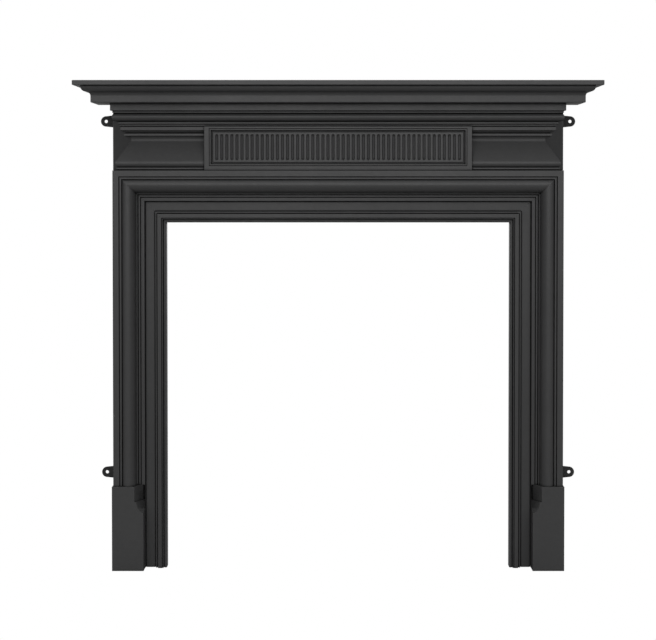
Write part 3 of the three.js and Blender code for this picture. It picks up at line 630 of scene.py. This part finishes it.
def makeStoppedChamfer():
    p = plinth
    slant = hypot(p["chamferFace"], p["chamferReturn"])
    deep = p["chamferFace"] * p["chamferReturn"] / slant
    along = Vector((-p["chamferFace"], p["chamferReturn"], 0)) / slant
    outward = Vector((-p["chamferReturn"], -p["chamferFace"], 0)) / slant
    shoulder, width = p["height"] - p["chamferLength"], deep * p["stopShoulder"]
    beyond = deep + wall
    members = [(beyond, p["height"] + wall), (0, p["height"] + wall), (0, shoulder), (deep - width, shoulder),
               (deep, shoulder, 90, p["stopHeight"] / width), (beyond, shoulder - p["stopHeight"])]
    start = spot(p["inner"] + p["chamferFace"], p["front"], 0) - along * slant
    section = stand(drawSection(members), outward, upwards, start)
    return pushOut(section, along, 3 * slant)


def makePlinthBlock():
    p = plinth
    outline = [(p["inner"], 0), (p["inner"], p["front"], p["round"]), (p["outer"], p["front"], p["round"]),
               (p["outer"], 0)]
    bm = barUpright(outline, 0, p["height"], soften=False)
    top = max(bm.faces, key=lambda f: f.calc_center_median().z)
    rim = [e for e in top.edges if any(v.co.y < wallY - 1 for v in e.verts)]
    roundOff(bm, rim, p["topRound"], 3)
    piece = shape("rightPlinthCasting", bm)
    slant = hypot(p["chamferFace"], p["chamferReturn"])
    behind = 1 + wall * slant / (p["chamferFace"] * p["chamferReturn"])
    hollow = [(p["inner"] + wall, -wall),
              (p["inner"] + wall, p["front"] - p["chamferReturn"] * (behind - wall / p["chamferFace"])),
              (p["inner"] + p["chamferFace"] * (behind - wall / p["chamferReturn"]), p["front"] - wall),
              (p["outer"] - wall, p["front"] - wall), (p["outer"] - wall, -wall)]
    inside = barUpright(hollow, p["foot"], p["height"] - wall)
    bores = uprightBores("plinth", p["height"], before=12, after=8)
    return carve(piece, [inside, makeStoppedChamfer(), *bores])


finishPair(makePlinthBlock(), "satin_iron", "plinth_block")
print("plinth blocks: two, with stopped chamfers")

# Frieze
frieze = {
    "foot": 1059.3, "half": 593.5, "cheekFront": 105, "cheekDepth": 42, "cheekRun": 49, "cheekRound": 1.0,
    "footRecess": (2.6, 93), "footFillet": (4.6, 98.5), "noseRise": 2.26, "noseRadius": 13, "noseUnder": 45,
    "noseOut": 87.85, "coveRadius": 12, "coveDeep": 68, "coveRise": 63.2, "coveHead": 9.8,
    "lowFillet": (5.6, 82), "cavettoQuirk": (3.4, 74.5), "cavetto": (5.2, 80), "lowBand": (9.4, 90),
    "thinQuirk": (2.6, 85.5), "thinFillet": (3.2, 92.5), "midQuirk": (1.9, 89.5), "highFillet": (4.8, 95),
    "torusQuirk": (2.6, 90.5), "torusRadius": 10, "torusCrest": 108.3,
    "neckQuirk": (1.2, 100), "neckFillet": (4, 106.5), "bandQuirk": (1.8, 103), "band": (18.7, 112),
    "spare": 5,             # of the bar, before its foot and top are cut
    "cheekInto": 0.25,      # how far the cheek reaches into the torus
    "cheekClear": 0.02,     # so that no two faces share a plane
}
friezeFoot = frieze["foot"]
sideStep = frieze["half"] - frieze["cheekFront"]        # turns a front projection into a half width
noseHeight = (frieze["footRecess"][0] + frieze["footFillet"][0] + frieze["noseRise"]
              + frieze["noseRadius"] * sin(radians(frieze["noseUnder"])))
coveCentre = frieze["coveDeep"] + frieze["coveRadius"]
coveHeight = noseHeight + frieze["coveRise"]
headAngle = asin(frieze["coveHead"] / frieze["coveRadius"])
rampAngle = (atan2(frieze["coveRise"], coveCentre - frieze["noseOut"])      # how far the ramp looks up
             - acos((frieze["coveRadius"] + frieze["noseRadius"])
                    / hypot(frieze["coveRise"], coveCentre - frieze["noseOut"])))


def onCove(radius):
    # where the ramp runs into the cove
    return (coveCentre - radius * cos(rampAngle), coveHeight - radius * sin(rampAngle))


def friezeSteps(names, z):
    # bands and creases, one above the other
    members = []
    for height, out in (frieze[name] for name in names):
        members += [(out, z), (out, z + height)]
        z += height
    return members, z


def friezeFront():
    f = frieze
    recess, z = f["footRecess"][1], f["footRecess"][0]
    members = [(recess, -f["spare"]), (recess, z), (f["footFillet"][1], z)]
    z += f["footFillet"][0]
    under = radians(f["noseUnder"])
    members += [(f["footFillet"][1], z), (recess, z),
                (f["noseOut"] + f["noseRadius"] * cos(under), noseHeight - f["noseRadius"] * sin(under)),
                (f["noseOut"], noseHeight, f["noseUnder"] + degrees(rampAngle), 1), onCove(f["coveRadius"]),
                (coveCentre, coveHeight, -degrees(rampAngle + headAngle), 1)]
    low, z = friezeSteps(("lowFillet", "cavettoQuirk"), coveHeight + f["coveHead"])
    rise, out = f["cavetto"]
    run = f["lowBand"][1] - out
    members += low + [(out, z), (out + run, z, -90, rise / run)]
    z += rise + f["lowBand"][0]
    middle, torusFoot = friezeSteps(("thinQuirk", "thinFillet", "midQuirk", "highFillet", "torusQuirk"), z)
    radius = f["torusRadius"]
    axis = f["torusCrest"] - radius
    members += [(f["lowBand"][1], z)] + middle
    members += [(axis, torusFoot), (axis, torusFoot + radius, 180, 1)]
    high, top = friezeSteps(("neckQuirk", "neckFillet", "bandQuirk", "band"), torusFoot + 2 * radius)
    return members + high, torusFoot, top


friezeMembers, torusFootHeight, friezeHeight = friezeFront()
friezeTop = friezeFoot + friezeHeight


def friezeSides():
    # what the frieze looks like from the front: x and height, with the torus and bands returned
    f, edge = frieze, frieze["cheekFront"] + frieze["cheekClear"]
    axis, radius = f["torusCrest"] - f["torusRadius"], f["torusRadius"]
    torusMiddle = torusFootHeight + radius
    part = asin((edge - axis) / radius)
    dip = radius * cos(part)
    neck = torusFootHeight + 2 * radius + f["neckQuirk"][0]
    band = neck + f["neckFillet"][0] + f["bandQuirk"][0]
    outs = [(edge, 0), (edge, torusMiddle - dip), (axis, torusMiddle, 180 - 2 * degrees(part), 1),
            (edge, neck), (f["neckFillet"][1], neck), (f["neckFillet"][1], neck + f["neckFillet"][0]),
            (edge, neck + f["neckFillet"][0]), (edge, band), (f["band"][1], band),
            (f["band"][1], friezeHeight)]
    return [(-overrun, 0)] + [(sideStep + m[0], *m[1:]) for m in outs] + [(-overrun, friezeHeight)]


def friezeBack():
    f = frieze
    noseBack, joint = f["footRecess"][1] - wall, onCove(f["coveRadius"] + wall)
    rampFoot = joint[1] - (noseBack - joint[0]) / tan(rampAngle)
    coveTop = coveHeight + f["coveHead"]
    cavettoEnd = coveTop + f["lowFillet"][0] + f["cavettoQuirk"][0] + f["cavetto"][0]
    neckFoot = torusFootHeight + 2 * f["torusRadius"]
    return [(-wall, wall), (noseBack, wall), (noseBack, rampFoot), joint,
            (coveCentre, coveHeight, -degrees(rampAngle + headAngle), 1),
            (f["cavettoQuirk"][1] - wall, coveTop + wall),
            (f["cavettoQuirk"][1] - wall, cavettoEnd - f["cavetto"][0]),
            (f["thinQuirk"][1] - wall, cavettoEnd + wall), (f["thinQuirk"][1] - wall, torusFootHeight - wall),
            (f["torusQuirk"][1] - wall, torusFootHeight), (f["neckQuirk"][1] - 2 * wall, neckFoot),
            (f["bandQuirk"][1] - wall, neckFoot + wall + f["neckQuirk"][0]),
            (f["bandQuirk"][1] - wall, friezeHeight - wall), (-wall, friezeHeight - wall)]


def tabletBores(side):
    return [bore(spot(side * tablet["half"], fixings["tabletOut"], friezeFoot + rise), sideways * side,
                 before=2 * wall, after=20) for rise in fixings["tabletHeights"]]


def makeFrieze():
    f, half, front, spare = frieze, frieze["half"], frieze["cheekFront"], frieze["spare"]
    clear = f["band"][1] + 3 * wall         # in front of everything
    outline = [(-wall, -spare)] + friezeMembers + [(-wall, friezeHeight + spare)]
    piece = shape("friezeCasting", barAlongX(outline, friezeFoot, 0, casting["farAway"]))
    inner, slope = half - f["cheekRun"], f["cheekDepth"] / f["cheekRun"]
    cheek = barUpright([(half, -wall), (half, front, f["cheekRound"]), (inner, front - f["cheekDepth"]),
                        (inner, -wall)], friezeFoot - spare, friezeFoot + torusFootHeight + f["cheekInto"],
                       soften=False)
    carve(piece, [cheek], "UNION")
    carve(piece, [barAlongDepth(friezeSides(), friezeFoot, 0, clear)], "INTERSECT")
    edge = tablet["half"] + gap
    back = friezeBack()
    behind = wall * hypot(1, slope)
    cheekHollow = barUpright([(half - wall, -wall), (half - wall, front - slope * wall - behind),
                              (inner, front - f["cheekDepth"] - behind), (inner, -wall)],
                             friezeFoot + wall, friezeFoot + torusFootHeight - wall)
    window = block(-overrun, edge, -overrun, clear, friezeFoot + wall, tablet["top"] + gap)
    lipRoom = block(-overrun, edge, tablet["front"] - tablet["lipDepth"] - gap, clear, friezeFoot - wall,
                    friezeFoot + 2 * wall)
    carve(piece, [barAlongX(back, friezeFoot, -overrun, edge),
                  barAlongX(back, friezeFoot, edge + flange, half - wall), cheekHollow, window, lipRoom])
    carve(piece, [lugPad(half, lug["upper"])], "UNION")
    footBores = uprightBores("frieze", friezeFoot, before=wall, after=2 * wall)
    topBores = uprightBores("shelf", friezeTop, before=2 * wall, after=wall, radius=fixings["shelfBore"])
    carve(piece, [*footBores, *topBores, *tabletBores(1), *lugCuts(lug["upper"])])
    return wholeFromHalf(piece)


# Fluted tablet, for which the frieze is cut
tablet = {
    "half": 353, "front": 106, "back": 44, "foot": 1059.6, "seat": 1065.6, "top": 1174.8, "lipDepth": 20,
    "recess": (336.2, 1075.0, 1165.6),      # half width, foot and top of the recess
    "grooveInset": 2.6, "grooveWidth": 2, "grooveDepth": 2,
    "channelDepth": 9, "channelWidth": 6.5, "channelSlope": 0.3, "fieldRise": 3,
    "fluteCount": 49, "flutePitch": 13.35, "fluteWidth": 7.8, "fluteLength": 68.5, "fluteRim": 0.5,
    "fluteFacets": 16, "rimSteps": (30, 60, 90), "fluteSteps": (22, 44, 66, 84),      # degrees
}
finishPiece(makeFrieze(), "satin_iron", "frieze", mitreStep=sideStep)
print("frieze: cove, torus and end cheeks")


def sink(bm, faces, inset, depth):
    bmesh.ops.inset_region(bm, faces=faces, thickness=max(inset, nearly / 10), depth=depth,
                           use_even_offset=True, use_boundary=True)


def fluteField(bm, face):
    t = tablet
    middle = (t["recess"][1] + t["recess"][2]) / 2
    plane = face.calc_center_median().y
    rim, wide, halfFacet = t["fluteRim"], t["fluteWidth"] / 2, radians(180 / t["fluteFacets"])
    slide = (t["fluteLength"] - t["fluteWidth"]) / 2
    upright = Matrix.Rotation(radians(90), 4, "X") @ Matrix.Rotation(halfFacet, 4, "Z")
    flutes = []
    for index in range(t["fluteCount"]):
        x = (index - (t["fluteCount"] - 1) / 2) * t["flutePitch"]
        ring = bmesh.ops.create_circle(bm, cap_ends=True, segments=t["fluteFacets"],
                                       radius=(wide + rim) / cos(halfFacet), matrix=upright)["verts"]
        bmesh.ops.translate(bm, vec=(0, 0, slide), verts=[v for v in ring if v.co.z > 0])
        bmesh.ops.translate(bm, vec=(0, 0, -slide), verts=[v for v in ring if v.co.z < 0])
        bmesh.ops.translate(bm, vec=(x, plane, middle), verts=ring)
        flutes.append(ring[0].link_faces[0])
        flutes[-1].normal_update()
        if flutes[-1].normal.y > 0:
            flutes[-1].normal_flip()
    # a rounded rim, then the hollow of the flute
    path = [(rim * sin(radians(a)), rim * (1 - cos(radians(a)))) for a in t["rimSteps"]]
    path += [(rim + wide * (1 - cos(radians(a))), rim + (wide - rim) * sin(radians(a)))
             for a in t["fluteSteps"]]
    last = (0, 0)
    for inset, depth in path:
        sink(bm, flutes, inset - last[0], last[1] - depth)
        last = (inset, depth)
    bmesh.ops.delete(bm, geom=[face], context="FACES_ONLY")
    rims = [e for e in bm.edges if e.is_boundary]
    bmesh.ops.triangle_fill(bm, use_beauty=True, use_dissolve=False, edges=rims, normal=(0, -1, 0))
    faceOut(bm)


def makeTablet():
    t = tablet
    lipBack = t["front"] - t["lipDepth"]
    outline = [(t["back"], t["seat"]), (lipBack, t["seat"]), (lipBack, t["foot"]), (t["front"], t["foot"]),
               (t["front"], t["top"]), (t["back"], t["top"])]
    bm = barAlongX(outline, 0, -t["half"], t["half"])
    ends = [f for f in bm.faces if abs(f.normal.x) > 0.99]
    roundOff(bm, [e for f in ends for e in f.edges], casting["arris"], 2, clamp=True)
    piece = shape("tabletCasting", bm)
    inside = t["half"] - wall
    fieldBack = t["front"] - t["channelDepth"] - t["fluteWidth"] / 2 - wall
    hollow = block(-inside, inside, -wall, fieldBack, t["seat"] + wall, t["top"] - wall)
    carve(piece, [hollow, *tabletBores(-1), *tabletBores(1)])

    def work(bm):
        front = wallY - t["front"] + 10 * nearly
        fronts = [f for f in bm.faces if f.normal.y < -0.99 and f.calc_center_median().y < front]
        face = max(fronts, key=lambda f: f.calc_area())
        half, foot, top = t["recess"]
        grow = t["grooveInset"] + t["grooveWidth"]
        sink(bm, [face], 1, 0)
        for v in face.verts:
            v.co.x = (half + grow) * (1 if v.co.x > 0 else -1)
            v.co.z = top + grow if v.co.z > (foot + top) / 2 else foot - grow
        slope, steep = t["grooveWidth"] / 4, t["channelSlope"]
        for inset, depth in ((slope, -t["grooveDepth"]), (2 * slope, 0), (slope, t["grooveDepth"]),
                             (t["grooveInset"], 0), (steep, -t["channelDepth"]),
                             (t["channelWidth"] - 2 * steep, 0), (steep, t["fieldRise"])):
            sink(bm, [face], inset, depth)
        fluteField(bm, face)
    return reworked(piece, work)


finishPiece(makeTablet(), "satin_iron", "fluted_tablet")
print("tablet: framed field of flutes")

# Cornice and shelf
cornice = {
    "foot": 1235.7, "fascia": (17, 157.4), "fasciaRound": 2, "cavetto": 11, "ovolo": 12.4, "topFillet": 3,
    "bossRadius": 11,
}
shelf = {"foot": 1279.4, "top": 1291.9, "half": 688.7, "front": 200.2, "round": 1.6, "threadDepth": 8.3,
         "boltDepth": 8}


def makeCornice():
    c = cornice
    height, out = c["fascia"]
    spring = height + c["cavetto"]
    top = spring + c["ovolo"] + c["topFillet"]
    edge = out + c["cavetto"]
    members = [(-2 * wall, 0), (out, 0, c["fasciaRound"]), (out, height), (edge, height, -90, 1),
               (edge, spring + c["ovolo"], 90, 1), (edge + c["ovolo"], top), (-2 * wall, top)]
    piece = shape("corniceCasting", returnedBar(members, c["foot"], sideStep))
    hollow = [(-2 * wall, wall), (out - wall, wall), (out - wall, height + wall), (out + wall, spring + wall),
              (edge + c["ovolo"] - wall, spring + c["ovolo"]), (edge + c["ovolo"] - wall, top + wall),
              (-2 * wall, top + wall)]
    carve(piece, [returnedBar(hollow, c["foot"], sideStep, back=-wall, soften=False)])
    carve(piece, [rod(spot(x, out, c["foot"] + wall / 2), upwards, c["bossRadius"], top - wall / 2,
                      casting["facetsPerTurn"]) for x, out in fixings["shelf"]], "UNION")
    carve(piece, uprightBores("shelf", c["foot"], before=wall, after=top + wall, radius=fixings["shelfBore"]))
    return wholeFromHalf(piece)


def makeShelf():
    s = shelf
    bm = block(0, s["half"], 0, s["front"], s["foot"], s["top"])
    inMiddle = [e for e in bm.edges if all(abs(v.co.x) < nearly for v in e.verts)]
    atWall = [e for e in bm.edges if all(abs(v.co.y - wallY) < nearly for v in e.verts)]
    arrises = [e for e in bm.edges if e not in inMiddle and e not in atWall]
    roundOff(bm, arrises, s["round"], 5)
    piece = shape("shelfCasting", bm)
    carve(piece, uprightBores("shelf", s["foot"], before=wall, after=s["threadDepth"],
                              radius=fixings["shelfBore"]))
    return wholeFromHalf(piece)


finishPiece(makeCornice(), "satin_iron", "cornice", mitreStep=sideStep)
finishPiece(makeShelf(), "satin_iron", "mantel_shelf")
print("cornice and shelf")


# Wall lugs
def makeLug(name, height):
    g = lug
    side, tip, base = g["sideX"], g["tipRadius"], g["baseHalf"]
    outline = [(g["tailX"], -tip), (side - wall, -base), (side, -base), (g["holeX"], -tip),
               (g["holeX"], 0, 180, 1), (side, base), (side - wall, base), (g["tailX"], tip)]
    bm = barAlongDepth(outline, height, 0, g["thickness"], soften=False)
    front = min(bm.faces, key=lambda f: f.calc_center_median().y)
    roundOff(bm, list(front.edges), g["round"], 3)
    through = g["thickness"] + 2 * wall
    screwHole = rod(spot(g["holeX"], -wall, height), towardsRoom, g["holeRadius"], through, g["holeFacets"])
    fixingHole = rod(spot(fixings["lugX"], -wall, height), towardsRoom, fixings["looseBore"], through)
    return carve(shape(name, bm), [screwHole, fixingHole])


for level in ("upper", "lower"):
    finishPair(makeLug("right" + level.title() + "Lug", lug[level]), "lug_iron", level + "_wall_lug")
print("wall lugs: four")

# Bolts and nuts
smallBolt = {"radius": 4, "headRadius": 7.5, "headHeight": 5.3, "nutHeight": 6.5, "tail": 3, "pitch": 1.25}
shelfBolt = {"radius": 5, "headRadius": 9.8, "headHeight": 6.4, "pitch": 1.5}
hexagon = {"topShare": 0.84, "cornerSlope": 0.577}
# the longest thread, then shares of the bolt's length, of its radius and of one pitch
thread = {"longest": 14, "share": 0.7, "crest": 0.98, "root": 0.86, "tip": 0.78, "rootAt": 0.35,
          "crestAt": 0.85, "facets": 20}


def hexagonalBody(radius, height, hole=0):
    # a hexagon with its corners turned off, standing on z = 0
    middle = Matrix.Translation((0, 0, height / 2))
    bm = bmesh.new()
    bmesh.ops.create_cone(bm, cap_ends=True, segments=6, radius1=radius, radius2=radius, depth=height,
                          matrix=middle)
    body = shape("hexagon", bm)
    turned = bmesh.new()
    small = radius * hexagon["topShare"]
    bmesh.ops.create_cone(turned, cap_ends=True, segments=casting["facetsPerTurn"], radius2=small,
                          radius1=small + height / hexagon["cornerSlope"], depth=height, matrix=middle)
    carve(body, [turned], "INTERSECT")
    if hole:
        carve(body, [rod(Vector((0, 0, -1)), upwards, hole, height + 2)])
    return body


def threadedShank(size, length):
    # a shank from z = 0 upwards, with rings for its thread at the end
    radius, pitch = size["radius"], size["pitch"]
    crest, root = radius * thread["crest"], radius * thread["root"]
    turns = int(min(thread["longest"], length * thread["share"]) / pitch)
    corners = [(0, -1), (crest, -1), (crest, length - turns * pitch - 1)]
    for n in range(turns):
        z = length - 1 - (turns - n) * pitch
        corners += [(root, z + pitch * thread["rootAt"]), (crest, z + pitch * thread["crestAt"])]
    corners += [(radius * thread["tip"], length), (0, length)]
    bm = bmesh.new()
    tip = bm.verts.new((corners[0][0], 0, corners[0][1]))
    for out, z in corners[1:]:
        tip = nextPoint(bm, tip)
        tip.co = (out, 0, z)
    bmesh.ops.spin(bm, geom=bm.verts[:] + bm.edges[:], cent=(0, 0, 0), axis=(0, 0, 1), angle=radians(360),
                   steps=thread["facets"], use_merge=True, use_duplicate=False)
    bmesh.ops.remove_doubles(bm, verts=bm.verts, dist=nearly / 10)
    faceOut(bm)
    return bm


def addFastener(name, node, piece, start, direction):
    piece.data.transform(placing(start, direction))
    piece.name = "right" + name
    finishPair(piece, "fixing_steel", node)


def addBolt(name, node, start, direction, size, length):
    head = hexagonalBody(size["headRadius"], size["headHeight"])
    head.data.transform(Matrix.Rotation(radians(180), 4, "X"))
    carve(head, [threadedShank(size, length)], "UNION")
    addFastener(name, node, head, start, direction)


def addBoltAndNut(name, node, start, direction, grip):
    size, reach = smallBolt, grip + 2 * gap
    addBolt(name + "Bolt", node + "_bolt", start, direction, size, reach + size["nutHeight"] + size["tail"])
    nut = hexagonalBody(size["headRadius"], size["nutHeight"], hole=size["radius"] + gap)
    addFastener(name + "Nut", node + "_nut", nut, start + direction * reach, direction)


for index, (x, out) in enumerate(fixings["shelf"], 1):
    start = spot(x, out, friezeTop - wall - gap)
    addBolt(f"ShelfBolt{index}", f"shelf_bolt_{index}", start, upwards, shelfBolt,
            shelf["foot"] + shelf["boltDepth"] - start.z)
for index, (x, out) in enumerate(fixings["frieze"], 1):
    addBoltAndNut(f"Frieze{index}", f"frieze_{index}", spot(x, out, friezeFoot + wall + gap), downwards,
                  2 * wall + 2 * gap)
for index, inset in enumerate(fixings["mitreInsets"], 1):
    addBoltAndNut(f"Mitre{index}", f"mitre_{index}", mitreSpot(inset) - towardsLeg * (flange + 1.5 * gap),
                  towardsLeg, 2 * flange + 2 * gap)
for index, (x, out) in enumerate(fixings["plinth"], 1):
    addBoltAndNut(f"Plinth{index}", f"plinth_{index}", spot(x, out, plinth["height"] + wall + 2 * gap),
                  downwards, 2 * wall + 2 * gap)
for index, rise in enumerate(fixings["tabletHeights"], 1):
    addBoltAndNut(f"Tablet{index}", f"tablet_{index}",
                  spot(tablet["half"] - wall - gap, fixings["tabletOut"], friezeFoot + rise), sideways,
                  wall + flange + 2 * gap)
for level in ("upper", "lower"):
    grip = lug["thickness"] + flange + 2 * gap
    addBolt(level.title() + "LugScrew", level + "_lug_screw", spot(fixings["lugX"], grip, lug[level]),
            -towardsRoom, smallBolt, grip - 1)
print("fixings: bolts, nuts and lug screws")

# Floor, light and camera
studio = {
    "floorColour": (0.3, 0.3, 0.3, 1), "floorRoughness": 0.9,
    "floorSize": 40, "floorDrop": 0.0005,       # metres
    "white": (1, 1, 1, 1), "backdrop": 1.0, "ambient": 0.14,
    # elevation, azimuth from the front, half angles of the bright core and of the faded edge, strength
    "lobes": {
        "frontal": (16, 0, 14, 66, 0.72),
        "overhead": (75, 0, 10, 44, 0.5),
        "rear": (20, 180, 30, 88, 0.9),
    },
    # a large soft box in front, which the camera doesn't see
    "box": {"power": 17, "wide": 2600, "high": 900, "out": 2500, "centre": 1500, "aim": 750},
}
camera = {
    "distance": 5000, "height": 1017.4, "tilt": 1.463, "lens": 104.27, "sensor": 36, "farClip": 100,
    "shiftX": -0.0154, "shiftY": -0.13,
}


def makeFloor():
    bm = bmesh.new()
    bmesh.ops.create_grid(bm, x_segments=1, y_segments=1, size=studio["floorSize"])
    bmesh.ops.translate(bm, vec=(0, 0, -studio["floorDrop"]), verts=bm.verts)
    floor = shape("floor", bm)
    material = bpy.data.materials.new("paleFloor")
    material.use_nodes = True
    tree = material.node_tree
    shader = tree.nodes["Principled BSDF"]
    shader.inputs["Base Color"].default_value = studio["floorColour"]
    shader.inputs["Roughness"].default_value = studio["floorRoughness"]
    plain = addNode(tree, "Emission", Strength=studio["backdrop"])
    path = addNode(tree, "LightPath")
    choose = addNode(tree, "MixShader")
    linkUp(tree, (path, "Is Camera Ray", choose, 0), (shader, 0, choose, 1), (plain, 0, choose, 2),
           (choose, 0, tree.nodes["Material Output"], 0))
    floor.data.materials.append(material)


def addLobe(tree, way, elevation, azimuth, core, edge, strength):
    # a soft light from one direction
    level = cos(radians(elevation))
    towards = (sin(radians(azimuth)) * level, -cos(radians(azimuth)) * level, sin(radians(elevation)))
    near = addNode(tree, "VectorMath", operation="DOT_PRODUCT")
    near.inputs[1].default_value = towards
    fade = addSpread(tree, cos(radians(edge)), cos(radians(core)), 0, strength)
    fade.interpolation_type = "SMOOTHSTEP"
    linkUp(tree, (way, "Generated", near, 0), (near, "Value", fade, "Value"))
    return fade


def makeStudioLight():
    # a dark room with a large soft light in front, a weaker one above and one behind for the back
    world = bpy.data.worlds.new("softStudio")
    bpy.context.scene.world = world
    world.use_nodes = True
    tree = world.node_tree
    room = tree.nodes["Background"]
    room.inputs["Color"].default_value = studio["white"]
    plain = addNode(tree, "Background", Strength=studio["backdrop"])
    plain.inputs["Color"].default_value = studio["white"]
    way = addNode(tree, "TexCoord")
    total = addNode(tree, "Value")
    total.outputs[0].default_value = studio["ambient"]
    for lobe in studio["lobes"].values():
        light, grown = addLobe(tree, way, *lobe), addNode(tree, "Math", operation="ADD")
        linkUp(tree, (total, 0, grown, 0), (light, 0, grown, 1))
        total = grown
    path = addNode(tree, "LightPath")
    choose = addNode(tree, "MixShader")
    linkUp(tree, (total, 0, room, "Strength"), (path, "Is Camera Ray", choose, 0), (room, 0, choose, 1),
           (plain, 0, choose, 2), (choose, 0, tree.nodes["World Output"], "Surface"))


def makeSoftBox():
    b = studio["box"]
    data = bpy.data.lights.new("softBox", "AREA")
    data.shape, data.energy = "RECTANGLE", b["power"]
    data.size, data.size_y = b["wide"] * mm, b["high"] * mm
    lamp = addObject("softBox", data)
    lamp.location = spot(0, b["out"], b["centre"]) * mm
    lamp.rotation_euler = (atan2(b["out"], b["centre"] - b["aim"]), 0, 0)
    lamp.visible_camera = False


def makeCamera():
    c = camera
    data = bpy.data.cameras.new("camera")
    data.sensor_width = c["sensor"]
    data.lens = c["lens"]
    data.shift_x, data.shift_y = c["shiftX"], c["shiftY"]
    data.clip_end = c["farClip"]
    eye = addObject("camera", data)
    eye.location = spot(0, plinth["front"] + c["distance"], c["height"]) * mm
    eye.rotation_euler = (radians(90 - c["tilt"]), 0, 0)
    bpy.context.scene.camera = eye


makeFloor()
makeStudioLight()
makeSoftBox()
makeCamera()
bpy.context.scene.view_settings.view_transform = "Standard"
print("studio: floor, light and camera")
